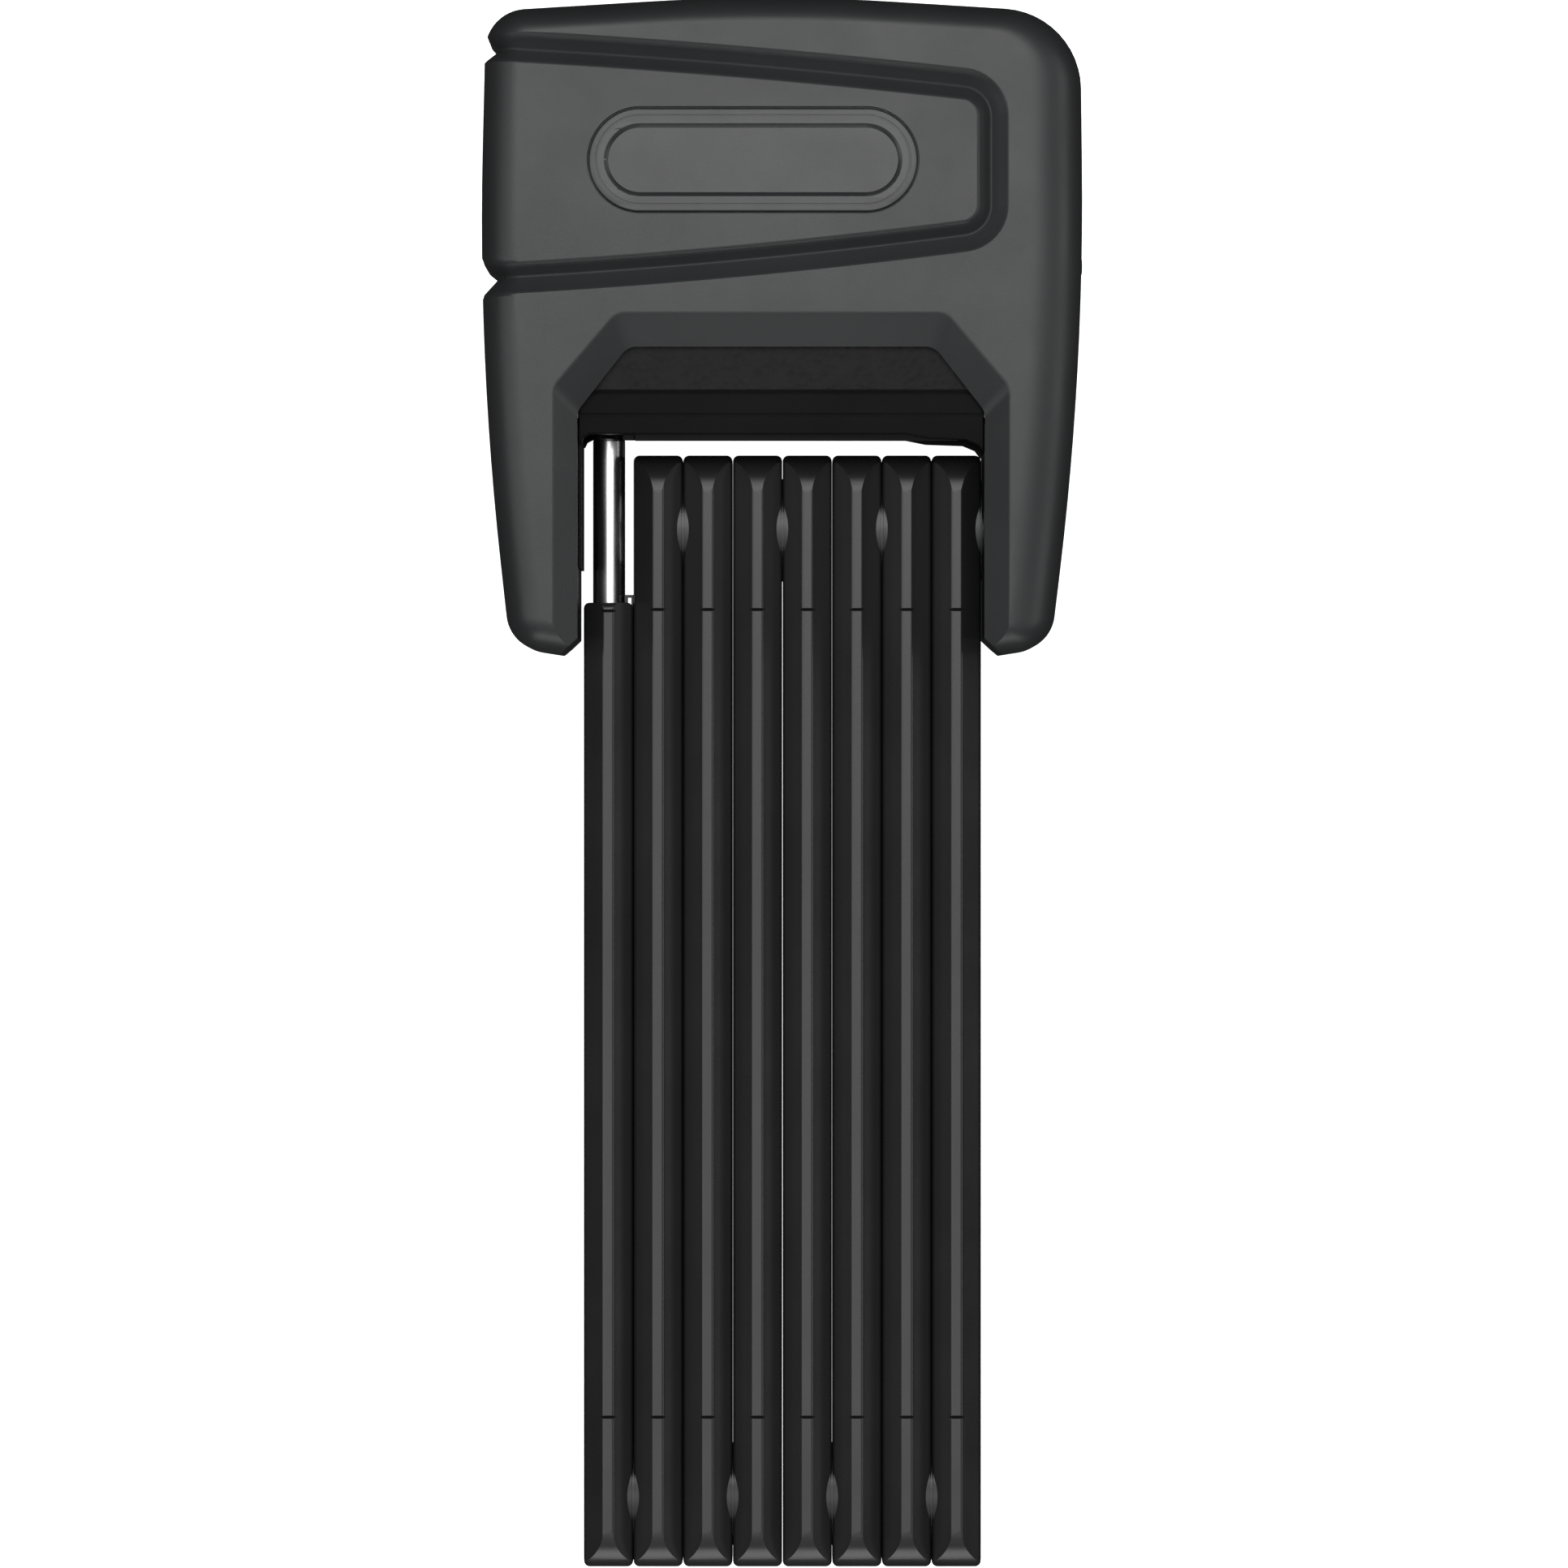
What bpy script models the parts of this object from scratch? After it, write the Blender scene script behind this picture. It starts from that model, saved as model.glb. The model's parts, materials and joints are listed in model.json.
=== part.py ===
"""Folding bike lock: eight coated steel bars, riveted end to end and folded into a lock body.

The lock lies on its back: +Z is its front, +Y its head and +X its keyhole side.
All hinge axes run along X at half the body's depth. Bar 1 is the leftmost and carries the bolt.
"""
import math

import bmesh
import bpy
from mathutils import Matrix, Vector

MM = 0.001

# Driving dimensions of the chain of bars
BARS = 8
HINGE_PITCH = 150 * MM
TOP_AXIS = 39.5 * MM
BAR_PITCH = 7.71 * MM
JACKET_THICK = 7.1 * MM
HALF_WIDTH = 11 * MM
END_CORNER = 6 * MM
TOP_REACH = 11.5 * MM
CREST = 1.7 * MM
PAD_RADIUS = 9 * MM
PAD_FACE = 3.65 * MM
CORE_THICK = 5 * MM
CORE_HALF = 8.2 * MM
CORE_GAP = 0.2 * MM

# Driving dimensions of the rivets and their washers
RIVET_RADIUS = 3.6 * MM
RIVET_HOLE = 4.1 * MM
HEAD_RADIUS = 5.3 * MM
HEAD_HOLE = 5.8 * MM
HEAD_THICK = 0.75 * MM
WASHER_RADIUS = 8 * MM
WASHER_SEAT = 8.5 * MM
WASHER_SEAT_DEPTH = 0.35 * MM
WASHER_GAP = 0.2 * MM

# Driving dimensions of the bolt
BOLT_RADIUS = 2.5 * MM
BOLT_FOOT = 28.1 * MM
BOLT_TIP = 54.2 * MM
BOLT_TRAVEL = 26.3 * MM

# Driving dimensions of the lock body
DEPTH = 44 * MM
BODY_X = -0.2 * MM
BODY_HALF = 46.4 * MM
HEAD_TOP = 121.97 * MM
ROLL = 7 * MM
WALL = 3.6 * MM
SEAM = 0.15 * MM
BAY_LEFT = -31.6 * MM
BAY_RIGHT = 31.2 * MM
BAY_ROOF = 54 * MM
LEG_WALL = 2.2 * MM
LEG_TIP = 20.1 * MM
GROOVE_DEPTH = 2.3 * MM
GROOVE_HALF = 2.4 * MM
BADGE_X = -4.5 * MM
BADGE_Y = 96 * MM
BADGE_HALF_LONG = 25.6 * MM
BADGE_HALF_HIGH = 8.25 * MM
SCREWS = [
    (-37.6 * MM, 108.6 * MM),
    (37.0 * MM, 108.6 * MM),
    (-37.0 * MM, 26.9 * MM),
    (36.6 * MM, 26.9 * MM),
]
SCREW_HEAD = 2.2 * MM
SCREW_SHANK = 1.1 * MM
SCREW_BORE = 1.5 * MM
POST_RADIUS = 2.6 * MM

# Driving dimensions of the lock works
CYLINDER_Y = 80.25 * MM
CYLINDER_RADIUS = 10 * MM
CASE_BOTTOM = 56.5 * MM
CASE_TOP = 104 * MM
CASE_LEFT = -34 * MM
CASE_RIGHT = 33.2 * MM
TAB_RIGHT = 37.3 * MM
CASE_BACK = 7 * MM
CASE_FRONT = 37 * MM
CASE_WALL = 3 * MM
LID_THICK = 2 * MM
CAM_THROW = 2 * math.sqrt(2) * MM
COVER_TRAVEL = 21.5 * MM
DISCS = 5

# Places that follow from them
MID = DEPTH / 2
BOTTOM_AXIS = TOP_AXIS - HINGE_PITCH
BAR_MIDDLE = (TOP_AXIS + BOTTOM_AXIS) / 2
BOLT_X = -3.5 * BAR_PITCH
SLIDE_LOW = 44.5 * MM + BOLT_TRAVEL
SLIDE_THICK = 3 * MM

for old in list(bpy.data.objects):
    bpy.data.objects.remove(old)

PARTS = bpy.data.collections.new("folding_bike_lock")
CUTTERS = bpy.data.collections.new("cutters")
bpy.context.scene.collection.children.link(PARTS)
bpy.context.scene.collection.children.link(CUTTERS)


def material(name, colour, roughness, metallic=0.0):
    """A Principled material with a plain colour and finish."""
    made = bpy.data.materials.new(name)
    made.use_nodes = True
    shader = made.node_tree.nodes["Principled BSDF"]
    shader.inputs["Base Color"].default_value = (*colour, 1)
    shader.inputs["Roughness"].default_value = roughness
    shader.inputs["Metallic"].default_value = metallic
    return made


FINISH = {
    "body_plastic": material("body_plastic", (0.045, 0.046, 0.047), 0.45),
    "liner_plastic": material("liner_plastic", (0.012, 0.012, 0.012), 0.6),
    "bar_coating": material("bar_coating", (0.018, 0.018, 0.019), 0.5),
    "chrome": material("chrome", (0.75, 0.75, 0.76), 0.12, 1.0),
    "bar_steel": material("bar_steel", (0.35, 0.35, 0.36), 0.4, 1.0),
    "case_steel": material("case_steel", (0.42, 0.43, 0.45), 0.45, 1.0),
    "brass": material("brass", (0.7, 0.52, 0.25), 0.3, 1.0),
    "washer_plastic": material("washer_plastic", (0.02, 0.02, 0.02), 0.4),
    "badge_plastic": material("badge_plastic", (0.09, 0.09, 0.09), 0.35),
}


# ---------------------------------------------------------------- making shapes


def add(name, mesh, finish=None):
    """A named part with its material, or a wire cutter when it has none."""
    obj = bpy.data.objects.new(name, mesh)
    if finish:
        PARTS.objects.link(obj)
        mesh.materials.clear()
        mesh.materials.append(FINISH[finish])
    else:
        CUTTERS.objects.link(obj)
        obj.hide_render = True
        obj.display_type = "WIRE"
    return obj


def mesh_of(name, bm):
    """The finished mesh of bm, with its faces pointing out."""
    bmesh.ops.recalc_face_normals(bm, faces=bm.faces)
    mesh = bpy.data.meshes.new(name)
    bm.to_mesh(mesh)
    bm.free()
    return mesh


def box(name, x, y, z, finish=None):
    """A box between the given lowest and highest x, y and z."""
    bm = bmesh.new()
    bmesh.ops.create_cube(bm, size=1)
    low = Vector((x[0], y[0], z[0]))
    high = Vector((x[1], y[1], z[1]))
    bmesh.ops.scale(bm, vec=high - low, verts=bm.verts)
    bmesh.ops.translate(bm, vec=(low + high) / 2, verts=bm.verts)
    return add(name, mesh_of(name, bm), finish)


def rod(name, radius, start, end, finish=None, sides=12):
    """A round bar from start to end, as a prism with the given number of sides."""
    start, end = Vector(start), Vector(end)
    bm = bmesh.new()
    bmesh.ops.create_cone(
        bm, cap_ends=True, segments=sides, radius1=radius, radius2=radius, depth=(end - start).length
    )
    turn = (end - start).to_track_quat("Z", "Y").to_matrix().to_4x4()
    bmesh.ops.transform(bm, matrix=Matrix.Translation((start + end) / 2) @ turn, verts=bm.verts)
    return add(name, mesh_of(name, bm), finish)


def plate(name, outline, low, high, finish=None, turn=None):
    """A flat outline made solid between two heights, then turned as a whole."""
    curve = bpy.data.curves.new(name, "CURVE")
    curve.dimensions = "2D"
    curve.fill_mode = "BOTH"
    curve.extrude = (high - low) / 2
    spline = curve.splines.new("POLY")
    spline.points.add(len(outline) - 1)
    for point, (x, y) in zip(spline.points, outline):
        point.co = (x, y, 0, 1)
    spline.use_cyclic_u = True
    drawn = bpy.data.objects.new(name + "_curve", curve)
    CUTTERS.objects.link(drawn)
    mesh = baked(drawn)
    bpy.data.objects.remove(drawn)
    bm = bmesh.new()
    bm.from_mesh(mesh)
    bmesh.ops.remove_doubles(bm, verts=bm.verts, dist=0.01 * MM)
    bmesh.ops.translate(bm, vec=(0, 0, (low + high) / 2), verts=bm.verts)
    if turn:
        bmesh.ops.transform(bm, matrix=turn, verts=bm.verts)
    return add(name, mesh_of(name, bm), finish)


def turned(name, profile, finish, sides=12):
    """A solid of revolution about Z from a profile of radius and height, top to bottom."""
    bm = bmesh.new()
    points = [bm.verts.new((radius, 0, height)) for radius, height in profile]
    for upper, lower in zip(points, points[1:]):
        bm.edges.new((upper, lower))
    mesh = bpy.data.meshes.new(name)
    bm.to_mesh(mesh)
    bm.free()
    obj = add(name, mesh, finish)
    screw = obj.modifiers.new("turn", "SCREW")
    screw.steps = sides
    screw.render_steps = sides
    screw.use_merge_vertices = True
    screw.merge_threshold = 0.01 * MM
    return obj


def loft(name, rings, finish=None):
    """A closed solid through rings of equal length, capped at both ends."""
    bm = bmesh.new()
    rows = [[bm.verts.new(point) for point in ring] for ring in rings]
    for row, following in zip(rows, rows[1:]):
        for i in range(len(row)):
            j = (i + 1) % len(row)
            bm.faces.new((row[i], row[j], following[j], following[i]))
    bm.faces.new(rows[0])
    bm.faces.new(rows[-1])
    return add(name, mesh_of(name, bm), finish)


def baked(obj):
    """The mesh of an object with its modifiers applied."""
    bpy.context.view_layer.update()
    evaluated = obj.evaluated_get(bpy.context.evaluated_depsgraph_get())
    return bpy.data.meshes.new_from_object(evaluated)


def combine(obj, operation, *others):
    """Boolean each of the other objects with obj."""
    for other in others:
        change = obj.modifiers.new(other.name, "BOOLEAN")
        change.operation = operation
        change.solver = "EXACT"
        change.object = other
    return obj


def cut(obj, *cutters):
    return combine(obj, "DIFFERENCE", *cutters)


def join(obj, *pieces):
    return combine(obj, "UNION", *pieces)


def rounded(corners, inset=0.0, steps=4):
    """An outline through (x, y, radius) corners, inset from its edges, with each corner an arc."""
    count = len(corners)
    points = [Vector(corner[:2]) for corner in corners]
    area = sum(points[i - 1].cross(points[i]) for i in range(count))
    lines = []
    for i in range(count):
        along = (points[(i + 1) % count] - points[i]).normalized()
        inward = Vector((-along.y, along.x)) * math.copysign(1, area)
        lines.append((points[i] + inward * inset, along))
    outline = []
    for i in range(count):
        (here, along_in), (there, along_out) = lines[i - 1], lines[i]
        reach = (there - here).cross(along_out) / along_in.cross(along_out)
        corner = here + along_in * reach
        turn = along_in.angle_signed(along_out)
        radius = max(corners[i][2] - inset, 0.5 * MM)
        back = radius * math.tan(abs(turn) / 2)
        start = corner - along_in * back
        side = math.copysign(1, along_in.cross(along_out))
        centre = start + Vector((-along_in.y, along_in.x)) * side * radius
        for step in range(steps + 1):
            angle = side * abs(turn) * step / steps
            arm = start - centre
            swung = Vector(
                (
                    arm.x * math.cos(angle) - arm.y * math.sin(angle),
                    arm.x * math.sin(angle) + arm.y * math.cos(angle),
                )
            )
            outline.append(centre + swung)
    return outline


def pivot(name, location, parent=None):
    """An empty on a joint's axis."""
    empty = bpy.data.objects.new(name, None)
    empty.empty_display_size = 0.01
    PARTS.objects.link(empty)
    attach(empty, parent, location)
    return empty


def attach(obj, parent, location=None):
    """Parent an object, keeping its mesh where it is in the world, or moving it to location."""
    world = Vector(location) if location is not None else obj.location.copy()
    obj.parent = parent
    origin = Vector()
    while parent:
        origin += parent.location
        parent = parent.parent
    obj.location = world - origin


# ---------------------------------------------------------------- bars


ACROSS_X = Matrix(((0, 0, 1, 0), (0, 1, 0, 0), (-1, 0, 0, 0), (0, 0, 0, 1)))
ALONG_Y = Matrix(((1, 0, 0, 0), (0, 0, 1, 0), (0, 1, 0, 0), (0, 0, 0, 1)))
HALF_PITCH = HINGE_PITCH / 2


def slab(name, half, thick, top=None):
    """A bar blank centred between its hinge axes, with rounded ends or squared at top."""
    inset = HALF_WIDTH - half
    foot, corner = -HALF_PITCH - half, END_CORNER - inset
    head = HALF_PITCH + TOP_REACH - inset if top is None else top
    head_corner = corner if top is None else 2 * MM
    corners = [
        (-half, foot, corner),
        (half, foot, corner),
        (half, head, head_corner),
        (-half, head, head_corner),
    ]
    return plate(name, rounded(corners), -thick / 2, thick / 2, turn=ACROSS_X)


def shoulders(name):
    """A long prism with the bar's crests and sloping shoulders as its section."""
    half, crest = JACKET_THICK / 2, CREST / 2
    drop = HALF_WIDTH - (half - crest)
    right = [(crest, -HALF_WIDTH), (half, -drop), (half, drop), (crest, HALF_WIDTH)]
    outline = right + [(-x, -y) for x, y in right]
    reach = HINGE_PITCH
    return plate(name, outline, -reach, reach, turn=ALONG_Y)


def jacket_mesh(name, hinges, top=None):
    """A hollow coating: hinges lists each hinge as (its end, its side), +1 or -1."""
    jacket = combine(slab(name, HALF_WIDTH, JACKET_THICK, top), "INTERSECT", shoulders(name + "_sides"))
    cavity_top = None if top is None else top - 1.5 * MM
    bores = [slab(name + "_cavity", CORE_HALF + CORE_GAP, CORE_THICK + 2 * CORE_GAP, cavity_top)]
    for end, side in hinges:
        y = end * HALF_PITCH
        tag = f"{name}_{'top' if end > 0 else 'bottom'}"
        face = side * PAD_FACE
        floor = side * (PAD_FACE - WASHER_SEAT_DEPTH)
        join(jacket, rod(tag + "_pad", PAD_RADIUS, (side * MM, y, 0), (face, y, 0), sides=16))
        bores.append(rod(tag + "_seat", WASHER_SEAT, (floor, y, 0), (face + side * MM, y, 0)))
        bores.append(rod(tag + "_hole", HEAD_HOLE, (-5 * MM, y, 0), (5 * MM, y, 0)))
    if top is not None:
        deep, wide = 4.6 * MM, 2.9 * MM
        bores.append(box(name + "_bolt_hole", (-wide, wide), (top - 3 * MM, top + MM), (-deep, deep)))
    return baked(cut(jacket, *bores))


def core_mesh(name, ends, top=None):
    """A flat steel bar with a rivet hole at each of the given ends."""
    core = slab(name, CORE_HALF, CORE_THICK, top)
    for end in ends:
        y = end * HALF_PITCH
        cut(core, rod(f"{name}_hole_{end}", RIVET_HOLE, (-5 * MM, y, 0), (5 * MM, y, 0)))
    if top is not None:
        cut(
            core,
            box(name + "_slot", (-1.3 * MM, 1.3 * MM), (top - 12 * MM, top + MM), (-4.6 * MM, 4.6 * MM)),
            rod(name + "_pin_hole", 1.8 * MM, (-5 * MM, top - 5 * MM, 0), (5 * MM, top - 5 * MM, 0)),
        )
    return baked(core)


def bar_x(number):
    return (number - (BARS + 1) / 2) * BAR_PITCH


def hinge_y(number):
    """The axis that carries bar number from the bar, or body, after it."""
    return TOP_AXIS if number % 2 == 0 else BOTTOM_AXIS


def washer(number, left, right):
    """The ring that fills the gap between two hinged neighbours."""
    y = hinge_y(number)
    start, end = (left, y, MID), (right, y, MID)
    ring = rod(f"hinge_washer_{number}", WASHER_RADIUS, start, end, "washer_plastic", sides=20)
    hole = rod(f"washer_hole_{number}", RIVET_HOLE, (left - MM, y, MID), (right + MM, y, MID))
    return cut(ring, hole)


def rivet(number, left, right):
    """A shank with a flat head at each end, along X from left to right."""
    half = (right - left) / 2
    profile = [
        (0, half),
        (HEAD_RADIUS, half),
        (HEAD_RADIUS, half - HEAD_THICK),
        (RIVET_RADIUS, half - HEAD_THICK),
        (RIVET_RADIUS, HEAD_THICK - half),
        (HEAD_RADIUS, HEAD_THICK - half),
        (HEAD_RADIUS, -half),
        (0, -half),
    ]
    obj = turned(f"hinge_rivet_{number}", profile, "bar_steel")
    obj.rotation_euler = (0, math.pi / 2, 0)
    obj.location = ((left + right) / 2, hinge_y(number), MID)
    return obj


def make_bars(body):
    """The eight bars as a chain of pivots, each on the hinge that carries its bar."""
    bolt_end = BOLT_FOOT - BAR_MIDDLE
    core_end = bolt_end - 1.8 * MM
    even = jacket_mesh("jacket_even", [(1, 1), (-1, -1)])
    odd = jacket_mesh("jacket_odd", [(1, -1), (-1, 1)])
    first = jacket_mesh("jacket_first", [(-1, 1)], bolt_end)
    plain_core = core_mesh("core_plain", (1, -1))
    first_core = core_mesh("core_first", (-1,), core_end)
    for name in ("jacket_even", "jacket_odd", "jacket_first", "core_plain", "core_first"):
        bpy.data.objects.remove(bpy.data.objects[name])

    grip = CORE_THICK / 2 + CORE_GAP + HEAD_THICK
    seat = PAD_FACE - WASHER_SEAT_DEPTH + WASHER_GAP
    carrier = body
    for number in range(BARS, 0, -1):
        x, y = bar_x(number), hinge_y(number)
        neighbour = x + BAR_PITCH
        if number == BARS:
            ring = washer(number, x + seat, BAY_RIGHT - WASHER_GAP)
            pin = rivet(number, x - grip, TAB_RIGHT + CORE_GAP + HEAD_THICK)
        else:
            ring = washer(number, x + seat, neighbour - seat)
            pin = rivet(number, x - grip, neighbour + grip)
        attach(ring, carrier)
        attach(pin, carrier)
        hinge = pivot(f"bar_{number}_hinge", (x, y, MID), carrier)
        jacket = first if number == 1 else (even if number % 2 == 0 else odd)
        for part, mesh, finish in (
            ("jacket", jacket, "bar_coating"),
            ("core", first_core if number == 1 else plain_core, "bar_steel"),
        ):
            attach(add(f"bar_{number}_{part}", mesh, finish), hinge, (x, BAR_MIDDLE, MID))
        carrier = hinge
    make_bolt(carrier, core_end)


def make_bolt(bar, core_end):
    """The locking bolt, with a flat tang pinned in the end of bar 1 and a notch in its back."""
    foot = BOLT_FOOT - 1.2 * MM
    tip = BOLT_TIP - 0.8 * MM
    pin_y = BAR_MIDDLE + core_end - 5 * MM
    half_tang = MM
    bolt = rod("locking_bolt", BOLT_RADIUS, (BOLT_X, foot, MID), (BOLT_X, tip, MID), "chrome", sides=20)
    end = loft(
        "bolt_tip",
        [
            [
                Vector((BOLT_X + radius * math.cos(a), y, MID + radius * math.sin(a)))
                for a in [math.tau * i / 20 for i in range(20)]
            ]
            for radius, y in ((BOLT_RADIUS - 0.1 * MM, tip - 0.5 * MM), (1.7 * MM, BOLT_TIP))
        ],
    )
    tang = box(
        "bolt_tang",
        (BOLT_X - half_tang, BOLT_X + half_tang),
        (pin_y - 4.5 * MM, foot + 0.5 * MM),
        (MID - 4 * MM, MID + 4 * MM),
    )
    join(bolt, end, tang)
    notch_low = SLIDE_LOW - BOLT_TRAVEL - 0.5 * MM
    notch_high = notch_low + SLIDE_THICK + MM
    cut(
        bolt,
        box(
            "bolt_notch",
            (BOLT_X - 3 * MM, BOLT_X + 3 * MM),
            (notch_low, notch_high),
            (MID - 4 * MM, MID - 1.2 * MM),
        ),
        rod("tang_hole", 1.7 * MM, (BOLT_X - 2 * MM, pin_y, MID), (BOLT_X + 2 * MM, pin_y, MID)),
    )
    pin = rod(
        "bolt_pin",
        1.4 * MM,
        (BOLT_X - 2.4 * MM, pin_y, MID),
        (BOLT_X + 2.4 * MM, pin_y, MID),
        "case_steel",
    )
    attach(bolt, bar)
    attach(pin, bar)


# ---------------------------------------------------------------- lock body


# The head and legs seen from the front, as corners with their radii
SILHOUETTE = [
    (BODY_X - 34.0 * MM, LEG_TIP, 1.2 * MM),
    (BODY_X + 33.8 * MM, LEG_TIP, 1.2 * MM),
    (BODY_X + 41.9 * MM, LEG_TIP + 1.9 * MM, 3.5 * MM),
    (BODY_X + BODY_HALF, 74 * MM, 150 * MM),
    (BODY_X + BODY_HALF - 0.3 * MM, 118.8 * MM, 12 * MM),
    (-1.8 * MM, HEAD_TOP, 250 * MM),
    (BODY_X - BODY_HALF + 0.8 * MM, 119 * MM, 6 * MM),
    (BODY_X - BODY_HALF, 78 * MM, 150 * MM),
    (BODY_X - 42.0 * MM, LEG_TIP + 1.9 * MM, 3.5 * MM),
]


def in_plane(outline, z):
    return [Vector((point.x, point.y, z)) for point in outline]


def half_shell(name, facing):
    """One moulded half of the body: facing is +1 for the front half, -1 for the rear half."""

    def height(z):
        return z if facing > 0 else DEPTH - z

    rings = [in_plane(rounded(SILHOUETTE), height(MID + SEAM))]
    arcs = 3
    for step in range(arcs + 1):
        angle = math.pi / 2 * step / arcs
        inset = ROLL * (1 - math.cos(angle))
        z = DEPTH - ROLL * (1 - math.sin(angle))
        rings.append(in_plane(rounded(SILHOUETTE, inset), height(z)))
    return loft(name, rings, "body_plastic")


def cavity():
    """The hollow inside both halves: the head and the two legs."""
    inner = WALL
    corners = [
        (BAY_LEFT - LEG_WALL, 24 * MM, MM),
        (BAY_LEFT - LEG_WALL, 55.5 * MM, MM),
        (BAY_RIGHT + LEG_WALL, 55.5 * MM, MM),
        (BAY_RIGHT + LEG_WALL, 24 * MM, MM),
        (BODY_X + 42.0 * MM - inner, 24 * MM, 2 * MM),
        (BODY_X + BODY_HALF - inner, 74 * MM, 100 * MM),
        (BODY_X + BODY_HALF - inner, 119 * MM - inner, 9 * MM),
        (BODY_X - BODY_HALF + inner, 119 * MM - inner, 4 * MM),
        (BODY_X - BODY_HALF + inner, 78 * MM, 100 * MM),
        (BODY_X - 42.0 * MM + inner, 24 * MM, 2 * MM),
    ]
    return plate("cavity", rounded(corners, steps=3), WALL, DEPTH - WALL)


def bay():
    """The gap between the legs, flared at the leg tips."""
    outline = [
        (BAY_LEFT, 57 * MM),
        (BAY_LEFT, LEG_TIP + 2.4 * MM),
        (BAY_LEFT - 5 * MM, LEG_TIP - 2.2 * MM),
        (BAY_RIGHT + 5 * MM, LEG_TIP - 2.2 * MM),
        (BAY_RIGHT, LEG_TIP + 2.4 * MM),
        (BAY_RIGHT, 57 * MM),
    ]
    return plate("bay", outline, -MM, DEPTH + MM)


def arch(facing):
    """The window over the bar ends, with a sloping rim from the face down into the wall."""
    reach = [
        ((BAY_LEFT - 0.4 * MM, BAY_RIGHT + 0.4 * MM), 58 * MM, 66.7 * MM, 8 * MM, WALL + MM),
        ((BAY_LEFT - 3.8 * MM, BAY_RIGHT + 3.9 * MM), 62 * MM, 72.6 * MM, 9.5 * MM, -0.4 * MM),
    ]
    rings = []
    for (left, right), shoulder, top, cant, depth in reach:
        z = DEPTH - depth if facing > 0 else depth
        outline = [
            (left, 10 * MM),
            (right, 10 * MM),
            (right, shoulder),
            (right - cant, top),
            (left + cant, top),
            (left, shoulder),
        ]
        rings.append([Vector((x, y, z)) for x, y in outline])
    return loft(f"arch_{'front' if facing > 0 else 'rear'}", rings)


def groove(facing):
    """The V-groove round the tapered panel, which starts and ends on the left side."""
    left_side = BODY_X - BODY_HALF
    panel = [
        (left_side, 113.6 * MM, 0),
        (27.5 * MM, 107.6 * MM, 6 * MM),
        (33.4 * MM, 106.6 * MM, 4 * MM),
        (31.6 * MM, 84.6 * MM, 4 * MM),
        (left_side, 77.4 * MM, 0),
    ]
    flat = rounded(panel, steps=3)[4:-4]
    face, out = Vector((0, 0, 1)), Vector((-1, 0, 0))
    turn = ROLL + 0.3 * MM
    drop = []
    for angle in (0, 30, 60, 90):
        normal = face * math.cos(math.radians(angle)) + out * math.sin(math.radians(angle))
        drop.append((Vector((left_side + ROLL, 0, DEPTH - ROLL)) + normal * turn, normal))
    drop.append((Vector((left_side - 0.3 * MM, 0, MID - MM)), out))

    def frames(y_of_edge, points):
        return [(point + Vector((0, y_of_edge, 0)), normal) for point, normal in points]

    route = list(reversed(frames(113.3 * MM, drop)))
    route += [(Vector((p.x, p.y, DEPTH + 0.3 * MM)), face) for p in flat]
    route += frames(77.7 * MM, drop)
    rings = []
    for i, (point, normal) in enumerate(route):
        before = route[max(i - 1, 0)][0]
        after = route[min(i + 1, len(route) - 1)][0]
        side = normal.cross(after - before).normalized()
        wide, narrow = side * (GROOVE_HALF + 0.6 * MM), side * 0.3 * MM
        above, valley = point + normal * MM, point - normal * (GROOVE_DEPTH + 0.3 * MM)
        rings.append([above + wide, above - wide, valley - narrow, valley + narrow])
    if facing < 0:
        rings = [[Vector((p.x, p.y, DEPTH - p.z)) for p in ring] for ring in rings]
    return loft(f"groove_{'front' if facing > 0 else 'rear'}", rings)


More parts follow.
